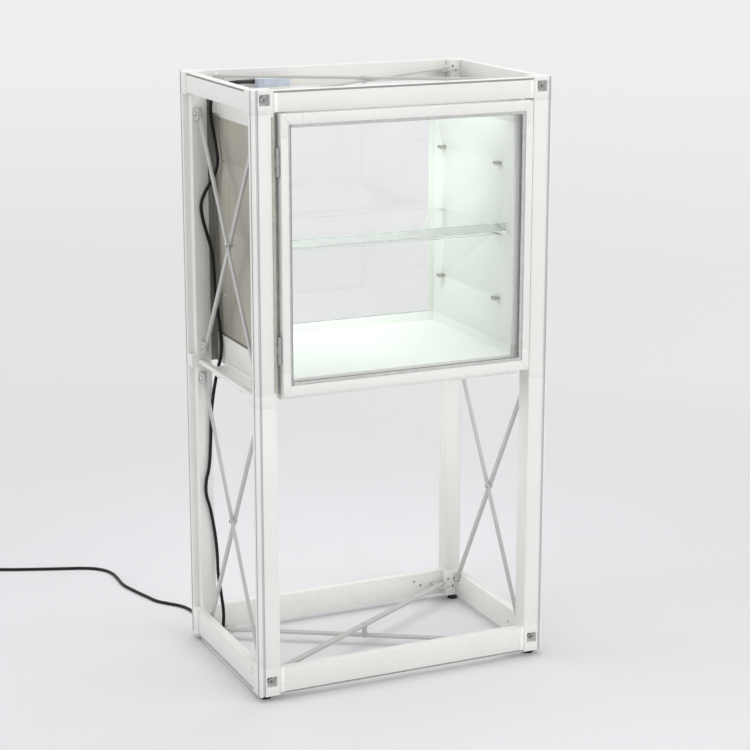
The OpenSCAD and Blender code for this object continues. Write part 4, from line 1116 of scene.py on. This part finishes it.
class CASE_OT_braces(bpy.types.Operator):
    """Crossed brace bars with their lugs, bolts and nuts"""

    bl_idname = "display_case.braces"
    bl_label = "Braces and bolts"

    def execute(self, context):
        for node in ("lower_brace_left", "lower_brace_right", "upper_brace_left", "upper_brace_right",
                     "bottom_brace", "top_brace"):
            finished_copy(node, "frame", "white_paint", 0.0004, clamp=False, look="brace_paint")
        # The lugs' grey is painted shade.
        finished_copy("brace_lugs", "frame", "white_paint", 0.0004, clamp=False, look="brace_paint")
        head, nut = self.head(), self.nut()
        for number, (low, high) in enumerate(shells("brace_bolts")):
            centre = (low + high) / 2
            across, upward = high.x - low.x, high.z - low.z
            if abs(centre.x) > SIDE_BOLTS_FROM and across < upward + 0.0105:
                outward = Vector((1.0 if centre.x > 0 else -1.0, 0.0, 0.0))
                near = Vector((low.x if centre.x > 0 else high.x, centre.y, centre.z))
                far = Vector((high.x if centre.x > 0 else low.x, centre.y, centre.z))
            else:
                outward = Vector((0.0, 0.0, -1.0))
                near, far = Vector((centre.x, centre.y, high.z)), Vector((centre.x, centre.y, low.z))
            self.bolt(head, nut, number, near, far, outward)
        discard(head)
        discard(nut)
        self.corner_bolts()
        return {"FINISHED"}

    def bolt(self, head, nut, number, near, far, outward):
        """A bolt from its head's outer face to the far end of its nut or shank."""
        length = (far - near).length
        has_nut = length > NUT_FROM_LENGTH
        made = copy_at(head, f"brace_bolt_{number + 1}", near, -outward)
        stretch = length - (NUT_HEIGHT if has_nut else 0.0)
        for vert in made.data.vertices:
            reach = (vert.co - near).dot(outward)
            if reach > 1.5 * HEAD_HEIGHT:
                vert.co += outward * (stretch - reach)
        if has_nut:
            at = copy_at(nut, "nut_here", far, -outward)
            made = merge(made, at)
        smooth(made)
        fit(made, "frame", "steel", "brace_bolts")

    def head(self):
        """Button head with a hexagon socket. Its outer face is at z = 0 and its shank runs down."""
        head = rod("bolt_head", HEAD_RADIUS, -HEAD_HEIGHT, 0.0, 36)
        edit()
        choose("FACE", lambda f: f.normal.z > 0.9)
        bpy.ops.mesh.inset(thickness=0.0006)
        bpy.ops.mesh.inset(thickness=0.0010)
        bpy.ops.mesh.inset(thickness=0.0012)
        bpy.ops.mesh.extrude_region_move(TRANSFORM_OT_translate={"value": (0.0, 0.0, -0.0016)})
        choose("EDGE", lambda e: all(v.co.z > -0.0001 and hypot(v.co.x, v.co.y) > HEAD_RADIUS - 0.0001
                                     for v in e.verts))
        bpy.ops.transform.translate(value=(0.0, 0.0, -0.0013))
        choose("EDGE", lambda e: all(0.0036 < hypot(v.co.x, v.co.y) < 0.0042 and v.co.z > -0.0005
                                     for v in e.verts))
        bpy.ops.transform.translate(value=(0.0, 0.0, -0.0004))
        choose("FACE", lambda f: f.normal.z < -0.9 and middle(f).z < -0.0029)
        bpy.ops.mesh.inset(thickness=0.0020)
        bpy.ops.mesh.extrude_region_move(TRANSFORM_OT_translate={"value": (0.0, 0.0, -0.004)})
        leave()
        socket = rod("socket_cut", 0.00165, -0.0018, 0.001, 6)
        self.cut(head, socket)
        smooth(head)
        return head

    def cut(self, piece, cutter):
        """Takes the cutter's shape out of the piece, and discards the cutter."""
        modifier(piece, "BOOLEAN", operation="DIFFERENCE", object=cutter, solver="EXACT")
        discard(cutter)

    def nut(self):
        """Hexagon nut with chamfered corners. Its outer face is at z = 0 and it faces up."""
        nut = rod("nut", NUT_RADIUS, 0.0, NUT_HEIGHT, 6)
        edit()
        choose("EDGE", lambda e: all(v.co.z < 0.0001 for v in e.verts))
        bpy.ops.mesh.bevel(offset=0.0005, segments=2)
        choose("FACE", lambda f: f.normal.z < -0.9)
        bpy.ops.mesh.inset(thickness=0.0016)
        bpy.ops.mesh.extrude_region_move(TRANSFORM_OT_translate={"value": (0.0, 0.0, 0.0005)})
        leave()
        return nut

    def corner_bolts(self):
        """Socket-head bolts in the pockets of the corner blocks, in a dark grey that is partly painted
        shade of the pockets.
        """
        head = rod("corner_head", CORNER_HEAD_RADIUS, -CORNER_HEAD_HEIGHT, 0.0, 40)
        edit()
        choose("FACE", lambda f: f.normal.z > 0.9)
        bpy.ops.mesh.bevel(offset=0.0006, segments=2)
        leave()
        socket = rod("socket_cut", 0.0030, -0.0035, 0.001, 6)
        self.cut(head, socket)
        for number, (low, high) in enumerate(shells("corner_bolts")):
            centre = (low + high) / 2
            way = -1.0 if centre.y < 0 else 1.0
            face = low.y if way < 0 else high.y
            place = (centre.x, face, centre.z)
            bolt = copy_at(head, f"corner_bolt_{number + 1}", place, (0.0, way, 0.0))
            smooth(bolt)
            fit(bolt, "frame", "steel", "corner_bolts", look="bolt_paint")
        discard(head)


PAD_FACES = 48
PAD_RADIUS, PAD_HEIGHT = 0.0119, 0.0117
STUD_RADIUS, STUD_FOOT = 0.0038, 0.006
THREAD_START, THREAD_PITCH = 0.012, 0.0015


def pad_face(spot):
    """Number of the face round a pad that lies at the spot."""
    return int(round((atan2(spot.y, spot.x) / pi + 1) * PAD_FACES / 2))


# Small screws and pins, in millimetres: place of the head's middle, then the way that it faces.
FACING_LEFT, FACING_FRONT = (-1, 0, 0), (0, -1, 0)
SMALL_SCREWS = [
    ((-315.5, -160, 60.6), FACING_LEFT), ((-315.5, -160, 49.7), FACING_LEFT),
    ((297.5, -90, 36.4), FACING_LEFT),
    ((219, 184, 39), FACING_FRONT), ((204, 184, 49), FACING_FRONT),
    ((278.7, 164, 52), FACING_FRONT), ((294.3, 164, 51.6), FACING_FRONT),
    ((281, 164, 33.3), FACING_FRONT), ((290.5, 164, 33.6), FACING_FRONT),
    ((273.5, 189, 47), FACING_LEFT), ((273.5, 189, 24), FACING_LEFT),
    ((278.4, 164, 1199), FACING_FRONT), ((285.6, 164, 1190), FACING_FRONT),
    ((273.5, 190, 1203), FACING_LEFT), ((273.5, 190, 1179), FACING_LEFT),
]


class CASE_OT_screws(bpy.types.Operator):
    """Small countersunk screws in the rails and corner blocks"""

    bl_idname = "display_case.screws"
    bl_label = "Small screws"

    def execute(self, context):
        head = self.head(sizes().screw_radius)
        for number, (place, way) in enumerate(SMALL_SCREWS):
            screw = copy_at(head, f"small_screw_{number + 1}", Vector(place) * 0.001, way)
            smooth(screw, 30.0)
            fit(screw, "frame", "steel", look="screw_paint")
        discard(head)
        return {"FINISHED"}

    def head(self, radius):
        """Low round head with a cross recess. It stands 0.6 mm out of the surface at z = 0."""
        head = rod("small_screw", radius, -0.0010, 0.0006, 28)
        edit()
        choose("FACE", lambda f: f.normal.z > 0.9)
        bpy.ops.mesh.bevel(offset=0.0004, segments=3)
        leave()
        for turn in (0.0, pi / 2):
            blade = box("recess", (-0.6 * radius, -0.0003, 0.0), (0.6 * radius, 0.0003, 0.002))
            blade.rotation_euler.z = turn
            only(blade)
            settle()
            modifier(head, "BOOLEAN", operation="DIFFERENCE", object=blade, solver="EXACT")
            discard(blade)
        return head


class CASE_OT_feet(bpy.types.Operator):
    """Levelling feet with a ribbed pad and a threaded stud"""

    bl_idname = "display_case.feet"
    bl_label = "Feet"

    def execute(self, context):
        for place in ("front_left", "front_right", "back_left", "back_right"):
            low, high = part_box(f"foot_{place}")
            centre = (low + high) / 2
            pad = self.pad()
            stud = self.stud(high.z - low.z)
            whole = merge(pad, stud)
            foot = copy_at(whole, f"levelling_foot_{place}", (centre.x, centre.y, 0.0))
            discard(whole)
            smooth(foot)
            fit(foot, f"foot_{place}", "black_plastic", f"foot_{place}")
        return {"FINISHED"}

    def pad(self):
        """Pad with a ribbed rim, narrower where it stands."""
        pad = rod("foot_pad", PAD_RADIUS, 0.0, PAD_HEIGHT, PAD_FACES)
        edit()
        choose("FACE", lambda f: abs(f.normal.z) < 0.1 and pad_face(middle(f)) % 2 == 0)
        bpy.ops.mesh.inset(thickness=0.00025, use_individual=True)
        bpy.ops.transform.resize(value=(0.955, 0.955, 1.0))
        choose("FACE", lambda f: f.normal.z > 0.99 and hypot(*middle(f).xy) < 0.001)
        bpy.ops.mesh.inset(thickness=0.0015)
        bpy.ops.mesh.inset(thickness=0.0030)
        bpy.ops.mesh.extrude_region_move(TRANSFORM_OT_translate={"value": (0.0, 0.0, -0.0012)})
        choose("FACE", lambda f: f.normal.z < -0.99 and hypot(*middle(f).xy) < 0.001)
        bpy.ops.transform.resize(value=(0.76, 0.76, 1.0))
        bpy.ops.mesh.inset(thickness=0.0012)
        bpy.ops.mesh.inset(thickness=0.0020)
        bpy.ops.mesh.extrude_region_move(TRANSFORM_OT_translate={"value": (0.0, 0.0, 0.0006)})
        leave()
        return pad

    def stud(self, top):
        """Stud with the rings of its thread."""
        stud = rod("foot_stud", STUD_RADIUS, STUD_FOOT, top, 28)
        edit()
        levels, z = [], THREAD_START
        while z < top - 0.001:
            levels.append(z)
            bpy.ops.mesh.select_all(action="SELECT")
            bpy.ops.mesh.bisect(plane_co=(0.0, 0.0, z), plane_no=(0.0, 0.0, 1.0))
            z += THREAD_PITCH / 2
        deep = levels[::2]
        choose("EDGE", lambda e: all(any(abs(v.co.z - d) < 1e-5 for d in deep) for v in e.verts)
               and abs(e.verts[0].co.z - e.verts[1].co.z) < 1e-5)
        bpy.ops.transform.resize(value=(0.86, 0.86, 1.0))
        leave()
        return stud


# ------------------------------------------------------------------ case


BAR_WIDTH = 0.012
LEDGE_END = 0.116


class CASE_OT_cabinet(bpy.types.Operator):
    """Pan, side panels, roof, diffuser and light strips of the case"""

    bl_idname = "display_case.cabinet"
    bl_label = "Case"

    def execute(self, context):
        self.pan()
        for side in ("left", "right"):
            finished_copy(f"side_panel_{side}", "frame", "white_paint", 0.0004, look="panel", clamp=False)
        finished_copy("roof_housing", "frame", "white_paint", sizes().edge_round)
        finished_copy("light_diffuser", "frame", "diffuser", 0.0004)
        finished_copy("led_strips", "frame", "led", 0.0004)
        finished_copy("cord_clip", "frame", "white_paint", 0.0004, look="cap_paint")
        self.back_strips()
        self.side_ledges()
        return {"FINISHED"}

    def pan(self):
        """The floor pan, white outside and lined inside."""
        pan = finished_copy("floor_pan", "frame", "white_paint", sizes().edge_round)
        pan.data.materials.append(finish("lining"))
        low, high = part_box("floor_pan")
        for face in pan.data.polygons:
            spot = face.center
            within = abs(spot.x) < high.x - 0.002 and low.y + 0.002 < spot.y < high.y - 0.002
            if within and spot.z > (low.z + high.z) / 2:
                face.material_index = 1

    def folded(self, name, low, high, fold, normal, rise):
        """A thin plate with a flange raised along its inner edge, up to the fold."""
        plate = box(name, low, high)
        edit()
        bpy.ops.mesh.select_all(action="SELECT")
        bpy.ops.mesh.bisect(plane_co=(fold, 0.0, 0.0), plane_no=(1.0, 0.0, 0.0))
        choose("FACE", lambda f: f.normal.dot(normal) > 0.9 and abs(middle(f).x) < abs(fold))
        bpy.ops.mesh.extrude_region_move(TRANSFORM_OT_translate={"value": normal * rise})
        leave()
        round_edges(plate, 0.0004, 2, 40.0)
        return plate

    def back_strips(self):
        """Folded dark strips that close the gap between the case and the back posts; their colour is
        painted shade of that gap.
        """
        low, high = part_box("floor_pan")
        post_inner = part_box("upper_post_back_right")[0].x
        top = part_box("roof_housing")[1].z - 0.004
        for side in (-1, 1):
            ends = sorted((side * (high.x + 0.0002), side * (post_inner - 0.0002)))
            strip = self.folded(
                f"back_strip_{side_name(side)}",
                (ends[0], high.y - 0.0075, low.z + 0.001), (ends[1], high.y - 0.0060, top),
                side * (high.x + 0.0022), Vector((0.0, -1.0, 0.0)), 0.006)
            fit(strip, "frame", "white_paint", look="drab_and_shade")

    def side_ledges(self):
        """Flat ledges between the case and its side bars, cut short where the lead passes."""
        low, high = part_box("floor_pan")
        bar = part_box("middle_bars")[1].x - BAR_WIDTH
        for side in (-1, 1):
            ends = sorted((side * (high.x + 0.0003), side * (bar - 0.0003)))
            ledge = self.folded(
                f"side_ledge_{side_name(side)}",
                (ends[0], low.y + 0.022, low.z + 0.0002), (ends[1], LEDGE_END, low.z + 0.0016),
                side * (high.x + 0.0022), Vector((0.0, 0.0, 1.0)), 0.007)
            fit(ledge, "frame", "white_paint", look="cap_paint")


CLIP_REACH = 0.0125
CLIP_ROOT = 0.0115
CLIP_HALF = 0.0076
CLIP_LEAF = 0.0022
CLIP_PAD_HEIGHT = 0.0034
# Heights and depths of the slots that hold no shelf.
CLIP_ROWS = (0.759, 1.035)
CLIP_PLACES = (-0.126, 0.126)


class CASE_OT_glazing(bpy.types.Operator):
    """Back glass, glass shelf with its lip, and the shelf's clips"""

    bl_idname = "display_case.glazing"
    bl_label = "Glazing and shelf"

    def execute(self, context):
        glass_plate("back_glass", "frame")
        shelf = glass_plate("glass_shelf", "shelf", "shelf_glass")
        shelf.data.materials.append(finish("lip_glass"))
        for face in shelf.data.polygons:
            if abs(face.normal.y) > 0.9 and face.material_index == 0:
                face.material_index = 2
        finished_copy("shelf_clips", "frame", "steel", 0.0003)
        self.spare_clips()
        return {"FINISHED"}

    def spare_clips(self):
        """Spare shelf clips in the slots above and below the shelf, each with a pad on its top."""
        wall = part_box("back_glass")[1].x
        for side in (-1, 1):
            for row in CLIP_ROWS:
                for y in CLIP_PLACES:
                    end = "front" if y < 0 else "back"
                    tag = f"{side_name(side)}_{int(row * 1000)}_{end}"
                    self.clip(tag, side, wall, row, y)
                    self.clip_pad(tag, side, wall, row, y)

    def clip(self, tag, side, wall, row, y):
        """A clip's leaf, thicker under the part that stands out of the wall."""
        ends = sorted((side * (wall + CLIP_ROOT), side * (wall - CLIP_REACH)))
        leaf = box(f"spare_clip_{tag}", (ends[0], y - CLIP_HALF, row - CLIP_LEAF),
                   (ends[1], y + CLIP_HALF, row))
        edit()
        bpy.ops.mesh.select_all(action="SELECT")
        bpy.ops.mesh.bisect(plane_co=(side * (wall - 0.001), 0.0, 0.0), plane_no=(1.0, 0.0, 0.0))
        choose("FACE", lambda f: f.normal.z < -0.9 and abs(middle(f).x) < wall - 0.001)
        bpy.ops.mesh.extrude_region_move(TRANSFORM_OT_translate={"value": (0.0, 0.0, -0.0014)})
        bpy.ops.transform.resize(value=(0.94, 0.90, 1.0))
        leave()
        round_edges(leaf, 0.0004, 2, 30.0)
        fit(leaf, "frame", "steel", look="clip_tab")

    def clip_pad(self, tag, side, wall, row, y):
        """The soft pad on a clip's leaf."""
        tip = sorted((side * (wall - 0.0006), side * (wall - CLIP_REACH + 0.0004)))
        pad = box(f"spare_clip_pad_{tag}", (tip[0], y - CLIP_HALF - 0.0002, row - 0.0002),
                  (tip[1], y + CLIP_HALF + 0.0002, row + CLIP_PAD_HEIGHT))
        round_edges(pad, 0.0005, 2, 30.0)
        fit(pad, "frame", "grey_seal", look="clip_pad")


EDGE_LIMIT = 0.0075


def glass_plate(node, body, look="clear_glass"):
    """A glass plate with ground arrises, its cut edges in the edge's green."""
    piece = merged_copy(node, node + "_plate")
    round_edges(piece, sizes().glass_round, 1)
    fit(piece, body, "clear_glass", node, look=look)
    piece.data.materials.append(finish("glass_edge"))
    for face in piece.data.polygons:
        corners = [piece.data.vertices[i].co for i in face.vertices]
        spans = sorted(max(c[i] for c in corners) - min(c[i] for c in corners) for i in range(3))
        if spans[1] < EDGE_LIMIT:
            face.material_index = 1
    return piece


# ------------------------------------------------------------------ door


class CASE_OT_door(bpy.types.Operator):
    """Door frame, glass, seal and hinges"""

    bl_idname = "display_case.door"
    bl_label = "Door"

    def execute(self, context):
        for node in ("door_stile_left", "door_stile_right", "door_rail_top", "door_rail_bottom"):
            finished_copy(node, "door", "white_paint", sizes().edge_round, clamp=False)
        finished_copy("door_corner_pieces", "door", "white_paint", sizes().edge_round, look="door_paint",
                      clamp=False)
        glass_plate("door_glass", "door")
        finished_copy("door_seal", "door", "grey_seal", 0.0005)
        # The hinge leaves' dark grey coat is partly painted shade of the gap that they sit in.
        finished_copy("hinge_frame_leaves", "frame", "steel", 0.0002, clamp=False, look="hinge_paint")
        finished_copy("hinge_door_leaves", "door", "steel", 0.0002, clamp=False, look="hinge_paint")
        self.gap_strips()
        self.hinge_strip()
        finished_copy("hinge_pins", "door", "steel", 0.0003, clamp=False)
        return {"FINISHED"}

    def gap_strips(self):
        """Upright grey strips that close the gap between the case and the front posts; their grey is
        painted shade of that gap.
        """
        post_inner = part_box("upper_post_front_right")[0].x
        case_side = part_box("side_panel_right")[1].x
        panel_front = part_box("side_panel_right")[0].y
        for side in (-1, 1):
            near, far = side * case_side, side * post_inner
            strip = box(f"gap_strip_{side_name(side)}",
                        (min(near, far), panel_front - 0.008, PANEL_LOW.z - 0.045),
                        (max(near, far), panel_front + 0.002, PANEL_HIGH.z + 0.044))
            edit()
            for step in (-0.0025, 0.0025):
                bpy.ops.mesh.select_all(action="SELECT")
                bpy.ops.mesh.bisect(plane_co=((near + far) / 2 + step, 0.0, 0.0), plane_no=(1.0, 0.0, 0.0))
            choose("FACE", lambda f: f.normal.y < -0.9 and abs(middle(f).x - (near + far) / 2) < 0.001)
            bpy.ops.mesh.inset(thickness=0.0004, depth=-0.0016)
            leave()
            round_edges(strip, 0.0008, 2, 40.0)
            fit(strip, "frame", "grey_seal", look="gap_shade_grey")

    def hinge_strip(self):
        """Flat dark strip on the inner edge of the hinge post's face, painted shade beside the door's
        edge.
        """
        inner_x = -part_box("upper_post_front_right")[0].x
        face_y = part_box("upper_post_front_left")[0].y
        low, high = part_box("upper_post_front_left")
        strip = box("hinge_strip", (inner_x - 0.006, face_y - 0.0014, low.z + 0.004),
                    (inner_x + 0.0001, face_y + 0.0002, high.z - 0.004))
        edit()
        bpy.ops.mesh.select_all(action="SELECT")
        bpy.ops.mesh.bisect(plane_co=(inner_x - 0.004, 0.0, 0.0), plane_no=(1.0, 0.0, 0.0))
        choose("FACE", lambda f: f.normal.y < -0.9 and middle(f).x < inner_x - 0.004)
        bpy.ops.mesh.inset(thickness=0.0003, depth=-0.0005)
        leave()
        round_edges(strip, 0.0003, 2, 40.0)
        fit(strip, "frame", "grey_seal", look="post_edge_shade")


# ------------------------------------------------------------------ light driver


DRIVER_MOUNT = 0.012
DRIVER_CAP = 0.010


class CASE_OT_driver(bpy.types.Operator):
    """Light driver with its mount and the seams of its end caps"""

    bl_idname = "display_case.driver"
    bl_label = "Light driver"

    def execute(self, context):
        low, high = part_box("light_driver")
        rest = low.z + DRIVER_MOUNT
        mount = box("driver_mount", (low.x + 0.001, low.y - 0.0005, low.z),
                    (high.x - 0.001, high.y - 0.001, rest))
        round_edges(mount, 0.0010, 2, 40.0)
        fit(mount, "frame", "white_paint")
        low.z = rest
        body = box("driver_body", low, high)
        edit()
        choose("EDGE", lambda e: abs(e.verts[0].co.z - e.verts[1].co.z) > 0.01)
        bpy.ops.mesh.bevel(offset=0.004, segments=5)
        seams = (low.x + DRIVER_CAP, high.x - DRIVER_CAP)
        for seam in seams:
            for step in (-0.0005, 0.0005):
                bpy.ops.mesh.select_all(action="SELECT")
                bpy.ops.mesh.bisect(plane_co=(seam + step, 0.0, 0.0), plane_no=(1.0, 0.0, 0.0))
        choose("FACE", lambda f: abs(f.normal.x) < 0.1
               and any(abs(middle(f).x - seam) < 0.0004 for seam in seams))
        bpy.ops.mesh.inset(thickness=0.0, depth=-0.0006)
        leave()
        round_edges(body, 0.0012, 3, 40.0)
        fit(body, "frame", "pale_blue_plastic", "light_driver")
        return {"FINISHED"}


# ------------------------------------------------------------------ panel and main


STEPS = [
    "camera", "cord", "stage", "posts", "rails", "braces", "screws", "feet", "cabinet", "glazing", "door",
    "driver",
]


class CASE_PT_sidebar(bpy.types.Panel):
    """Sizes, finishes and steps of the display case"""

    bl_idname = "CASE_PT_sidebar"
    bl_label = "Display case"
    bl_space_type = "VIEW_3D"
    bl_region_type = "UI"
    bl_category = "Display case"

    def draw(self, context):
        for group in (context.scene.case_finishes, context.scene.case_sizes, context.scene.case_light):
            column = self.layout.column(align=True)
            for name in group.bl_rna.properties.keys():
                if name not in ("rna_type", "name"):
                    column.prop(group, name)
        for step in STEPS:
            self.layout.operator("display_case." + step)


CLASSES = [
    CaseFinishes, CaseSizes, CaseLight,
    STUDIO_OT_camera, CASE_OT_cord, STUDIO_OT_stage, CASE_OT_posts, CASE_OT_rails, CASE_OT_braces,
    CASE_OT_screws, CASE_OT_feet, CASE_OT_cabinet, CASE_OT_glazing, CASE_OT_door, CASE_OT_driver,
    CASE_PT_sidebar,
]


def register():
    for kind in CLASSES:
        bpy.utils.register_class(kind)
    bpy.types.Scene.case_finishes = bpy.props.PointerProperty(type=CaseFinishes)
    bpy.types.Scene.case_sizes = bpy.props.PointerProperty(type=CaseSizes)
    bpy.types.Scene.case_light = bpy.props.PointerProperty(type=CaseLight)


def unregister():
    for name in ("case_finishes", "case_sizes", "case_light"):
        delattr(bpy.types.Scene, name)
    for kind in reversed(CLASSES):
        bpy.utils.unregister_class(kind)


def main():
    register()
    for step in STEPS:
        getattr(bpy.ops.display_case, step)()


if __name__ == "__main__":
    main()
